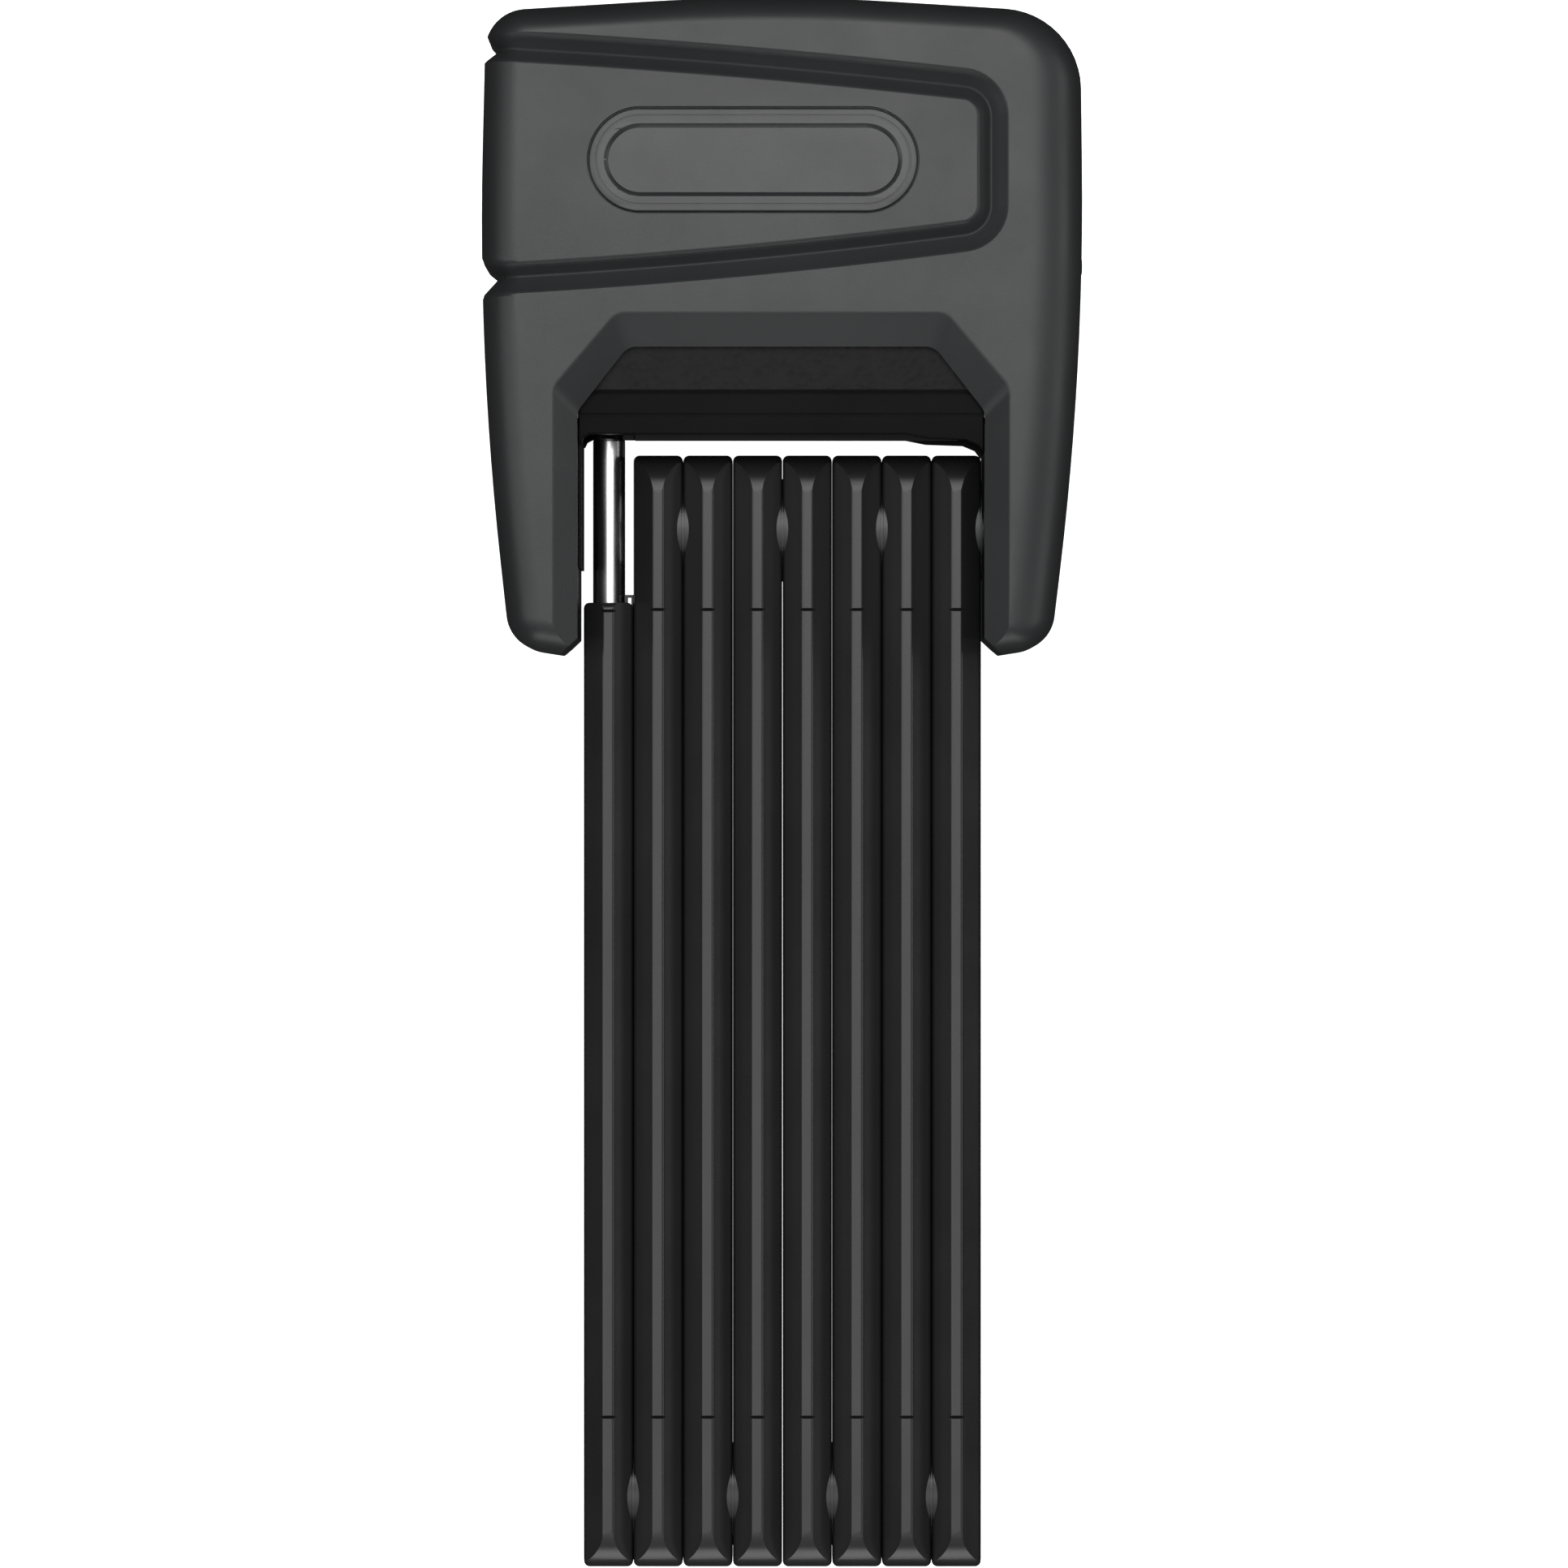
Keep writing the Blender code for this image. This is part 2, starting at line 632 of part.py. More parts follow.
def make_covers(body):
    """The front and rear shells, with their screw posts, the cylinder hole and the cover track."""
    front = half_shell("front_cover", 1)
    rear = half_shell("rear_cover", -1)
    hollow = cavity()
    gap = bay()
    inside, outside = BAY_RIGHT - MM, BAY_RIGHT + LEG_WALL + MM
    hinge_hole = rod("hinge_hole", RIVET_HOLE, (inside, TOP_AXIS, MID), (outside, TOP_AXIS, MID))
    nose_hole = rod("nose_hole", 8.4 * MM, (40 * MM, CYLINDER_Y, MID), (50 * MM, CYLINDER_Y, MID), sides=20)
    track = box(
        "cover_track",
        (44 * MM, 50 * MM),
        (CYLINDER_Y - 10.8 * MM - COVER_TRAVEL, CYLINDER_Y + 10.8 * MM),
        (MID - 10.3 * MM, MID + 10.3 * MM),
    )
    for shell, facing in ((front, 1), (rear, -1)):
        cut(shell, hollow, gap, arch(facing), groove(facing), hinge_hole, nose_hole, track)
        attach(shell, body)
    left, right = BADGE_X - BADGE_HALF_LONG, BADGE_X + BADGE_HALF_LONG
    low, high = BADGE_Y - BADGE_HALF_HIGH, BADGE_Y + BADGE_HALF_HIGH
    seat = [(x, y, BADGE_HALF_HIGH) for x, y in ((left, low), (right, low), (right, high), (left, high))]
    cut(front, plate("badge_seat", rounded(seat), DEPTH - 1.4 * MM, DEPTH + MM))
    badge = plate(
        "badge_plate", rounded(seat, 0.3 * MM), DEPTH - 1.1 * MM, DEPTH - 0.05 * MM, "badge_plastic"
    )
    attach(badge, body)
    for i, (x, y) in enumerate(SCREWS):
        front_end, rear_end = DEPTH - WALL + 0.5 * MM, WALL - 0.5 * MM
        join(front, rod(f"post_front_{i}", POST_RADIUS, (x, y, MID + SEAM), (x, y, front_end)))
        join(rear, rod(f"post_rear_{i}", POST_RADIUS, (x, y, rear_end), (x, y, MID - SEAM)))
        cut(front, rod(f"pilot_{i}", SCREW_BORE, (x, y, MID - MM), (x, y, MID + 10 * MM)))
        cut(
            rear,
            rod(f"shank_hole_{i}", SCREW_BORE, (x, y, -MM), (x, y, MID + MM)),
            rod(f"head_hole_{i}", 2.5 * MM, (x, y, -MM), (x, y, 2.2 * MM), sides=16),
        )
        attach(cover_screw(i + 1, x, y), body)


def cover_screw(number, x, y):
    """A screw put in from the rear, with its head sunk in the shell."""
    low, high = 0.4 * MM, MID + 9 * MM
    seat = low + 1.5 * MM
    profile = [
        (0, high),
        (SCREW_SHANK, high),
        (SCREW_SHANK, seat),
        (SCREW_HEAD, seat),
        (SCREW_HEAD, low),
        (0, low),
    ]
    screw = turned(f"cover_screw_{number}", profile, "case_steel")
    screw.location = (x, y, 0)
    return screw


def make_liner(body):
    """The black inner frame above the bars: a channel that hugs the lock case, open over the bolt."""
    left, right = BAY_LEFT + 0.3 * MM, BAY_RIGHT - 0.3 * MM
    channel = BOLT_X + 3.2 * MM
    front, back = 39 * MM, 5 * MM
    liner = box("bay_liner", (left, right), (BAY_ROOF, 69.5 * MM), (back, front), "liner_plastic")
    cut(
        liner,
        box(
            "case_space",
            (left - MM, right + MM),
            (CASE_BOTTOM - 0.3 * MM, 71 * MM),
            (CASE_BACK - 0.3 * MM, CASE_FRONT + 0.3 * MM),
        ),
        box("bolt_space", (left - MM, channel), (BAY_ROOF - MM, 57 * MM), (MID - 12 * MM, MID + 12 * MM)),
    )
    attach(liner, body)


def make_case(body):
    """The steel lock case with its lid, and the tab beside it that carries bar 8."""
    case = box(
        "lock_case",
        (CASE_LEFT, CASE_RIGHT),
        (CASE_BOTTOM, CASE_TOP),
        (CASE_BACK, CASE_FRONT - LID_THICK),
        "case_steel",
    )
    cut(
        case,
        box(
            "case_hollow",
            (CASE_LEFT + CASE_WALL, CASE_RIGHT - CASE_WALL),
            (CASE_BOTTOM + CASE_WALL, CASE_TOP - CASE_WALL),
            (CASE_BACK + CASE_WALL, CASE_FRONT + MM),
        ),
        rod("case_bolt_hole", 3.1 * MM, (BOLT_X, 50 * MM, MID), (BOLT_X, 62 * MM, MID)),
        rod(
            "case_nose_hole",
            CYLINDER_RADIUS + 0.5 * MM,
            (CASE_RIGHT - 5 * MM, CYLINDER_Y, MID),
            (CASE_RIGHT + MM, CYLINDER_Y, MID),
            sides=20,
        ),
    )
    lid = box(
        "case_lid",
        (CASE_LEFT, CASE_RIGHT),
        (CASE_BOTTOM, CASE_TOP),
        (CASE_FRONT - LID_THICK + 0.2 * MM, CASE_FRONT),
        "case_steel",
    )
    tab_left = BAY_RIGHT + LEG_WALL + 0.3 * MM
    half = 9.6 * MM
    outline = [
        (-half, TOP_AXIS - half, half),
        (half, TOP_AXIS - half, half),
        (half, 69 * MM, MM),
        (-half, 69 * MM, MM),
    ]
    lying = Matrix.Translation((0, 0, MID)) @ ACROSS_X
    tab = plate("hinge_tab", rounded(outline), tab_left, TAB_RIGHT, "case_steel", lying)
    cut(tab, rod("tab_hole", RIVET_HOLE, (tab_left - MM, TOP_AXIS, MID), (TAB_RIGHT + MM, TOP_AXIS, MID)))
    for piece in (case, lid, tab):
        attach(piece, body)


def make_works(body):
    """The bolt guide, the locking slide and the disc cylinder."""

    def along(x):
        return (x * MM, CYLINDER_Y, MID)

    guide = box(
        "bolt_guide",
        (CASE_LEFT + CASE_WALL + 0.3 * MM, -23.4 * MM),
        (CASE_BOTTOM + CASE_WALL + 0.3 * MM, 86 * MM),
        (MID - 9 * MM, MID + 9 * MM),
        "case_steel",
    )
    cut(
        guide,
        rod("guide_bore", 2.9 * MM, (BOLT_X, 50 * MM, MID), (BOLT_X, 83 * MM, MID), sides=16),
        box(
            "guide_slot",
            (-30.4 * MM, -20 * MM),
            (SLIDE_LOW - 0.4 * MM, SLIDE_LOW + SLIDE_THICK + 0.4 * MM),
            (0, MID + 0.5 * MM),
        ),
    )
    attach(guide, body)

    slide_pivot = pivot("slide_pivot", (-15 * MM, SLIDE_LOW, MID), body)
    top = SLIDE_LOW + SLIDE_THICK
    slide = box(
        "locking_slide",
        (-22.6 * MM, -9.8 * MM),
        (SLIDE_LOW, top),
        (MID - 7.6 * MM, MID + 7 * MM),
        "case_steel",
    )
    finger = box(
        "slide_finger",
        (-30 * MM, -21 * MM),
        (SLIDE_LOW + 0.05 * MM, top - 0.05 * MM),
        (MID - 7.5 * MM, MID - 1.5 * MM),
    )
    pin_z = MID + 2 * MM
    tab = box(
        "slide_tab",
        (-12 * MM, -9.9 * MM),
        (SLIDE_LOW + MM, CYLINDER_Y + 2 * MM),
        (pin_z - 4 * MM, pin_z + 4 * MM),
    )
    join(slide, finger, tab)
    slot_y = CYLINDER_Y - 2.4 * MM
    cut(
        slide,
        box(
            "slide_slot",
            (-14 * MM, -8 * MM),
            (slot_y - 2.3 * MM, slot_y + 2.3 * MM),
            (pin_z - 1.6 * MM, pin_z + 1.6 * MM),
        ),
    )
    attach(slide, slide_pivot)

    shell = rod("cylinder_body", CYLINDER_RADIUS, along(-3), along(39.5), "brass", sides=20)
    join(shell, rod("cylinder_nose", 7.9 * MM, along(38), along(43.6), sides=20))
    cut(shell, rod("cylinder_bore", 6.9 * MM, along(-6), along(46)))
    attach(shell, body)

    turn_pivot = pivot("plug_pivot", (0, CYLINDER_Y, MID), body)
    plug = rod("cylinder_plug", 6.4 * MM, along(-2.6), along(43.2), "brass")
    thin = (MID - MM, MID + MM)
    keyway = (CYLINDER_Y - 3.6 * MM, CYLINDER_Y + 3.6 * MM)
    cut(
        plug,
        rod("plug_hollow", 5.2 * MM, along(-6), along(39)),
        box("plug_keyway", (36 * MM, 46 * MM), keyway, thin),
        box("plug_bar_slot", (2 * MM, 31 * MM), (CYLINDER_Y + 4 * MM, CYLINDER_Y + 8 * MM), thin),
    )
    attach(plug, turn_pivot)
    for number in range(1, DISCS + 1):
        attach(disc(number), turn_pivot)
    side_bar = box(
        "side_bar",
        (2.5 * MM, 30.5 * MM),
        (CYLINDER_Y + 5.3 * MM, CYLINDER_Y + 6.5 * MM),
        (MID - 0.7 * MM, MID + 0.7 * MM),
        "case_steel",
    )
    attach(side_bar, turn_pivot)
    cam = rod("cylinder_cam", 6.2 * MM, along(-6.4), along(-2.9), "case_steel")
    throw = CAM_THROW / math.sqrt(2)
    pin_start = (-12.5 * MM, CYLINDER_Y - throw, MID + throw)
    pin_end = (-5 * MM, CYLINDER_Y - throw, MID + throw)
    join(cam, rod("cam_pin", 1.2 * MM, pin_start, pin_end))
    attach(cam, turn_pivot)


def disc(number):
    """One slotted disc of the stack inside the plug."""
    x = (1 + 6 * number) * MM
    made = rod(
        f"cylinder_disc_{number}",
        4.9 * MM,
        (x - 2 * MM, CYLINDER_Y, MID),
        (x + 2 * MM, CYLINDER_Y, MID),
        "brass",
    )
    keyway = box(
        f"disc_keyway_{number}",
        (x - 3 * MM, x + 3 * MM),
        (CYLINDER_Y - 3.4 * MM, CYLINDER_Y + 3.4 * MM),
        (MID - 0.9 * MM, MID + 0.9 * MM),
    )
    return cut(made, keyway)


def make_key_cover(body):
    """The sliding cover over the keyhole, with a grip rib that stands proud of the side."""
    inner, outer = 44.3 * MM, 45.7 * MM
    slide = pivot("key_cover_slide", (inner, CYLINDER_Y, MID), body)
    cover = box(
        "key_cover",
        (inner, outer),
        (CYLINDER_Y - 10.5 * MM, CYLINDER_Y + 10.5 * MM),
        (MID - 10 * MM, MID + 10 * MM),
        "liner_plastic",
    )
    rib_top = 46.5 * MM
    rib = box(
        "key_cover_rib",
        (outer - 0.5 * MM, rib_top),
        (CYLINDER_Y - 1.25 * MM, CYLINDER_Y + 1.25 * MM),
        (MID - 8 * MM, MID + 8 * MM),
    )
    attach(join(cover, rib), slide)


lock_body = pivot("lock_body", (0, 0, 0))
make_covers(lock_body)
make_liner(lock_body)
make_case(lock_body)
make_works(lock_body)
make_key_cover(lock_body)
make_bars(lock_body)
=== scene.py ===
"""The looks of the folding bike lock: fine shells, bars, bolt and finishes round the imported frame."""
import json
import math

import bmesh
import bpy
from mathutils import Matrix, Vector


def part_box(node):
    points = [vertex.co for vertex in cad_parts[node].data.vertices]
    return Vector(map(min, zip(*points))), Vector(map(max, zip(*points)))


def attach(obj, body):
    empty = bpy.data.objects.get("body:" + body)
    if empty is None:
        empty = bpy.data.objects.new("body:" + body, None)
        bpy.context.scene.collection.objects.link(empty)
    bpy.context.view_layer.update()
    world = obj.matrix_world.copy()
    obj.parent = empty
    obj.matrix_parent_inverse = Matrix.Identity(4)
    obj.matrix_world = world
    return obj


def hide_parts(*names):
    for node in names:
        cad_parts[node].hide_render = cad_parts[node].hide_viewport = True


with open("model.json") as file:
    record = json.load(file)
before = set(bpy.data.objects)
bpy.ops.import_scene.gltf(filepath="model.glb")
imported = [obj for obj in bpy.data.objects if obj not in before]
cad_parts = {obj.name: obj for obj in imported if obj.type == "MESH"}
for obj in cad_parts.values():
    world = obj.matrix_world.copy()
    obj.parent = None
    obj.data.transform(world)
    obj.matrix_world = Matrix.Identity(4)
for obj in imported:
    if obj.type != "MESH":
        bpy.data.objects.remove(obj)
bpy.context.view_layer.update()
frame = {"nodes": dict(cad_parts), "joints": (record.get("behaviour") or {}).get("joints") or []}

MM = 0.001
BARS = 8
JOINTS = {joint["name"]: joint for joint in frame["joints"]}


def corners_of(node):
    """The lowest and the highest corner of a CAD node's box."""
    return [Vector(corner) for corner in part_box(node)]


def centre_of(node):
    """The middle of a CAD node's box."""
    low, high = corners_of(node)
    return (low + high) / 2


# ---------------------------------------------------------------- places, read from the frame

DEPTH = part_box("front_cover")[1][2]
MID = DEPTH / 2
TOP_AXIS = JOINTS["hinge_8"]["pos_m"][1]
BOTTOM_AXIS = JOINTS["hinge_7"]["pos_m"][1]
HALF_PITCH = (TOP_AXIS - BOTTOM_AXIS) / 2
BAR_MIDDLE = (TOP_AXIS + BOTTOM_AXIS) / 2
BAR_X = {k: JOINTS[f"hinge_{k}"]["pos_m"][0] for k in range(1, BARS + 1)}
CYLINDER_Y = JOINTS["plug_turn"]["pos_m"][1]
COVER_TRAVEL = JOINTS["key_cover_slide"]["range_m"][1]
SCREW_NODES = [f"cover_screw_{i}" for i in range(1, 5)]

# ---------------------------------------------------------------- sizes

# Bars: the width runs from front to back, the thickness from side to side
HALF_WIDTH = 11 * MM
HALF_THICK = 3.81 * MM
HALF_CREST = 0.74 * MM
CREST_ROUND = 0.6 * MM
FLAT_ROUND = 1.6 * MM
END_CORNER = 6 * MM
SQUARE_CORNER = 1.2 * MM
TOP_REACH = 11.5 * MM
BLANK_EDGE = 0.9 * MM
CORE_HALF_THICK = 2.5 * MM
CORE_HALF_WIDTH = 8.2 * MM
CORE_GAP = 0.2 * MM
NOTCH_DEPTH = 0.5 * MM
NOTCH_FROM_AXIS = 12.5 * MM

# Hinges
PAD_RADIUS = 8.8 * MM
PAD_FACE = 3.6 * MM
PAD_SIDES = 80
SEAT_RADIUS = 8.4 * MM
SEAT_FLOOR = 3.45 * MM
HEAD_HOLE = 5.7 * MM
RIVET_HOLE = 4.1 * MM
RIVET_HEAD = 5.3 * MM
RIVET_HEAD_THICK = 0.75 * MM
RIVET_SHANK = 3.6 * MM
WASHER_RADIUS = 8 * MM

# Bolt: it leaves bar 1 at FIRST_BAR_TOP
FIRST_BAR_TOP = 28.1 * MM
BOLT_RADIUS = 2.5 * MM
BOLT_SUNK = 1.2 * MM
BOLT_NOTCH = 44 * MM
BOLT_NOTCH_HEIGHT = 4 * MM
# Its rounded tip in millimetres: how far in from the side, and how far from the end
BOLT_TIP = [(0, 0.9), (0.1, 0.6), (0.7, 0.08), (0.95, 0)]

# Lock body
BODY_X = -0.2 * MM
SEAM = 0.12 * MM
WALL = 3.6 * MM
ROLL = 7 * MM
HEAD_HALF = 46.4 * MM
LEG_HALF = 42.0 * MM
HEAD_TOP = 119 * MM
BAY_LEFT = -31.6 * MM
BAY_RIGHT = 31.2 * MM
BAY_TOP = 57 * MM
LEG_WALL = 2.2 * MM
LEG_TIP = 20.1 * MM
POST_RADIUS = 2.6 * MM
SCREW_BORE = 1.4 * MM
SCREW_SINK = 2.5 * MM
NOSE_HOLE = 8.4 * MM
# The head and legs seen from the front: x, y, corner radius, and how wide the next edge's roll is
SILHOUETTE = [
    (BODY_X - 34.2 * MM, LEG_TIP, 1.2 * MM, 0.5),
    (BODY_X + 34.0 * MM, LEG_TIP, 1.2 * MM, 0.7),
    (BODY_X + 41.7 * MM, LEG_TIP + 1.2 * MM, 6 * MM, 1.2),
    (BODY_X + 46.85 * MM, 64 * MM, 480 * MM, 1.2),
    (BODY_X + 46.2 * MM, 119.0 * MM, 12.5 * MM, 0.6),
    (-1.8 * MM, 121.96 * MM, 300 * MM, 0.6),
    (BODY_X - 45.6 * MM, 119.3 * MM, 6.5 * MM, 0.8),
    (BODY_X - 46.85 * MM, 66 * MM, 480 * MM, 0.8),
    (BODY_X - 41.9 * MM, LEG_TIP + 1.2 * MM, 6 * MM, 0.7),
]

# Groove round the tapered panel
PANEL_RIGHT = 32.1 * MM
PANEL_CORNER = 4.6 * MM
PANEL_LEFT = BODY_X - 45.9 * MM
# Its section in millimetres: distance from the valley towards the panel's outside, and depth
GROOVE_SECTION = [
    (-4.2, -0.5),
    (-3.0, -0.04),
    (-2.62, 0.06),
    (-2.35, 0.32),
    (-0.35, 2.15),
    (0.0, 2.25),
    (0.3, 2.12),
    (1.6, 0.45),
    (1.95, 0.1),
    (2.4, -0.03),
    (3.6, -0.5),
]

# Badge: half its length and height, and the (inset, depth) levels of its sunken field
BADGE_HALF_LONG = 25.6 * MM
BADGE_HALF_HIGH = 8.25 * MM
FIELD_LEVELS = [(3.3 * MM, 0.5 * MM), (2.8 * MM, 0.05 * MM), (2.6 * MM, 0), (2.6 * MM, -MM)]

# Keyhole cover and the track that it slides in
TRACK_HALF_WIDE = 10.3 * MM
TRACK_REACH = 10.8 * MM
TRACK_CORNER = 2.2 * MM
TRACK_FLOOR = 44 * MM
RIB_HALF_WIDE = 7.5 * MM

# Lock cylinder
CYLINDER_RADIUS = 10 * MM
NOSE_RADIUS = 7.9 * MM
PLUG_HOLE = 6.9 * MM
PLUG_RADIUS = 6.4 * MM
PLUG_INSIDE = 5.2 * MM

# Camera and lights: the picture is WIDTH_SEEN across at the height PLANE_SEEN
LENS = 259
SENSOR = 36
WIDTH_SEEN = 243.1 * MM
PLANE_SEEN = 30 * MM
CAMERA_X = 0.25 * MM
# The room's brightness by height, from the horizon to straight up
CEILING = [(0.02, 0.03), (0.45, 0.12), (0.62, 0.35), (0.85, 0.6), (0.95, 1.0), (1.0, 2.1)]
# Each softbox's place, target, size and radiance
SOFTBOXES = {
    "head": ((0.03, 0.2, 0.42), (0.01, 0.1, 0.04), (0.40, 0.24), 2.4),
    "foot": ((0, -0.4, 0.07), (0, -0.12, 0.02), (0.5, 0.18), 2.6),
    "left": ((-0.8, -0.1, 0.8), (0, 0, 0), (0.5, 1.2), 1.5),
    "right": ((1.0, 0.1, 0.36), (0, 0.05, 0.03), (0.9, 0.25), 2.4),
}

# Turns for plates, which are drawn in x and y: their thickness goes along x, or along y
ACROSS_X = Matrix(((0, 0, 1, 0), (0, 1, 0, 0), (-1, 0, 0, 0), (0, 0, 0, 1)))
ALONG_Y = Matrix(((1, 0, 0, 0), (0, 0, 1, 0), (0, 1, 0, 0), (0, 0, 0, 1)))


# ---------------------------------------------------------------- materials


class Nodes:
    """A short way to write a material's nodes."""

    def __init__(self, name):
        self.made = bpy.data.materials.new(name)
        self.made.use_nodes = True
        self.tree = self.made.node_tree
        self.shader = self.tree.nodes["Principled BSDF"]
        self.place = self.add("ShaderNodeTexCoord").outputs["Object"]

    def add(self, kind, **values):
        """A new node with its settings and inputs."""
        node = self.tree.nodes.new(kind)
        for key, value in values.items():
            if hasattr(node, key):
                setattr(node, key, value)
            else:
                node.inputs[key.replace("_", " ")].default_value = value
        return node

    def link(self, source, target):
        """Join an output to an input."""
        self.tree.links.new(source, target)

    def noise(self, scale, detail=4.0, roughness=0.55):
        """Cloudy noise over the piece."""
        node = self.add("ShaderNodeTexNoise", Scale=scale, Detail=detail, Roughness=roughness)
        self.link(self.place, node.inputs["Vector"])
        return node.outputs["Fac"]

    def cells(self, scale):
        """Distance to the nearest of many scattered points."""
        node = self.add("ShaderNodeTexVoronoi", Scale=scale)
        self.link(self.place, node.inputs["Vector"])
        return node.outputs["Distance"]

    def stretched(self, vector):
        """Coordinates scaled along each axis, for brushed or drawn grain."""
        node = self.add("ShaderNodeMapping")
        node.inputs["Scale"].default_value = vector
        self.link(self.place, node.inputs["Vector"])
        return node.outputs["Vector"]

    def ramp(self, value, low, high, start=0.25, end=0.75):
        """Spread a value that runs from start to end over the range from low to high."""
        node = self.add("ShaderNodeMapRange", From_Min=start, From_Max=end, To_Min=low, To_Max=high)
        self.link(value, node.inputs["Value"])
        return node.outputs["Result"]

    def colours(self, value, dark, light):
        """Base colour between dark and light."""
        node = self.add("ShaderNodeValToRGB")
        ends = node.color_ramp.elements
        ends[0].position, ends[1].position = 0.3, 0.7
        ends[0].color = (*dark, 1)
        ends[1].color = (*light, 1)
        self.link(value, node.inputs["Fac"])
        self.link(node.outputs["Color"], self.shader.inputs["Base Color"])

    def bump(self, height, distance, strength=1.0, under=None):
        """Relief of the given height, laid over an earlier bump if there is one."""
        node = self.add("ShaderNodeBump", Strength=strength, Distance=distance)
        self.link(height, node.inputs["Height"])
        if under:
            self.link(under.outputs["Normal"], node.inputs["Normal"])
        self.link(node.outputs["Normal"], self.shader.inputs["Normal"])
        return node

    def wear(self, rough, worn_rough, start=0.53, end=0.62):
        """Roughness that turns to worn_rough along exposed edges."""
        edges = self.add("ShaderNodeNewGeometry").outputs["Pointiness"]
        mixed = self.add("ShaderNodeMix")
        self.link(self.ramp(edges, 0.0, 1.0, start, end), mixed.inputs["Factor"])
        self.link(rough, mixed.inputs["A"])
        mixed.inputs["B"].default_value = worn_rough
        self.link(mixed.outputs["Result"], self.shader.inputs["Roughness"])


def moulded_plastic(name, dark, light, rough, grain=0.02 * MM, spark=5200.0, worn=0.3, gloss=0.5):
    """Satin spark-eroded plastic: fine even grain, slow changes in gloss, polished edges."""
    m = Nodes(name)
    m.colours(m.noise(38.0), dark, light)
    m.wear(m.ramp(m.noise(90.0, 6.0), rough - 0.04, rough + 0.05), worn)
    coarse = m.bump(m.noise(spark / 2.6, 2.0), grain * 1.5, 0.35)
    m.bump(m.noise(spark, 3.0, 0.7), grain, 0.6, coarse)
    m.shader.inputs["Specular IOR Level"].default_value = gloss
    return m.made


def metal(name, dark, light, rough, along=(1, 1, 1), grain=0.01 * MM, scale=900.0):
    """Bare or plated metal with grain drawn out along one axis."""
    m = Nodes(name)
    m.shader.inputs["Metallic"].default_value = 1.0
    drawn = m.add("ShaderNodeTexNoise", Scale=scale, Detail=5.0, Roughness=0.6)
    m.link(m.stretched(along), drawn.inputs["Vector"])
    m.colours(drawn.outputs["Fac"], dark, light)
    m.link(m.ramp(drawn.outputs["Fac"], rough - 0.05, rough + 0.07), m.shader.inputs["Roughness"])
    m.bump(drawn.outputs["Fac"], grain, 0.4)
    return m.made


def pebbled(name, dark, light, rough):
    """Black plastic with a coarse eroded texture."""
    m = Nodes(name)
    blotch = m.noise(520.0, 3.0, 0.6)
    m.colours(blotch, dark, light)
    m.link(m.ramp(blotch, rough - 0.1, rough + 0.1), m.shader.inputs["Roughness"])
    lumps = m.bump(m.cells(900.0), 0.18 * MM, 0.8)
    m.bump(blotch, 0.3 * MM, 0.7, lumps)
    m.shader.inputs["Specular IOR Level"].default_value = 0.1
    return m.made


def grey(level):
    """A neutral colour."""
    return (level, level, level)


FINISH = {
    "body": moulded_plastic(
        "body_plastic", (0.021, 0.022, 0.023), (0.026, 0.027, 0.028), 0.4, gloss=0.42
    ),
    "badge": moulded_plastic("badge_plastic", (0.018, 0.019, 0.020), (0.022, 0.023, 0.024), 0.35),
    "liner": moulded_plastic("liner_plastic", grey(0.004), grey(0.006), 0.45, gloss=0.04),
    "pebbled": pebbled("liner_texture", grey(0.008), grey(0.016), 0.55),
    "coating": moulded_plastic(
        "bar_coating",
        (0.012, 0.012, 0.0125),
        (0.016, 0.016, 0.0165),
        0.3,
        grain=0.008 * MM,
        spark=4200.0,
        worn=0.22,
    ),
    "washer": moulded_plastic("washer_plastic", grey(0.05), grey(0.07), 0.25),
    "chrome": metal("chrome", (0.78, 0.78, 0.79), (0.84, 0.84, 0.85), 0.24, (1, 0.05, 1), 0.002 * MM),
    "steel": metal("bar_steel", (0.28, 0.28, 0.29), (0.40, 0.40, 0.41), 0.34, (1, 0.04, 1)),
    "plated": metal("case_steel", (0.38, 0.39, 0.40), (0.50, 0.51, 0.52), 0.36, (1, 1, 0.1)),
    "brass": metal("brass", (0.60, 0.43, 0.19), (0.74, 0.55, 0.27), 0.26, (0.05, 1, 1)),
}


# ---------------------------------------------------------------- making shapes

WORKSHOP = bpy.data.collections.new("workshop")
bpy.context.scene.collection.children.link(WORKSHOP)


def add(name, mesh):
    """A new object in the workshop."""
    obj = bpy.data.objects.new(name, mesh)
    WORKSHOP.objects.link(obj)
    return obj


def mesh_of(name, bm):
    """Turn a bmesh into a mesh whose faces look outwards."""
    bmesh.ops.recalc_face_normals(bm, faces=bm.faces)
    mesh = bpy.data.meshes.new(name)
    bm.to_mesh(mesh)
    bm.free()
    return mesh


def box(name, x, y, z):
    """A block between two values along each axis."""
    bm = bmesh.new()
    bmesh.ops.create_cube(bm, size=1)
    low, high = Vector((x[0], y[0], z[0])), Vector((x[1], y[1], z[1]))
    bmesh.ops.scale(bm, vec=high - low, verts=bm.verts)
    bmesh.ops.translate(bm, vec=(low + high) / 2, verts=bm.verts)
    return add(name, mesh_of(name, bm))


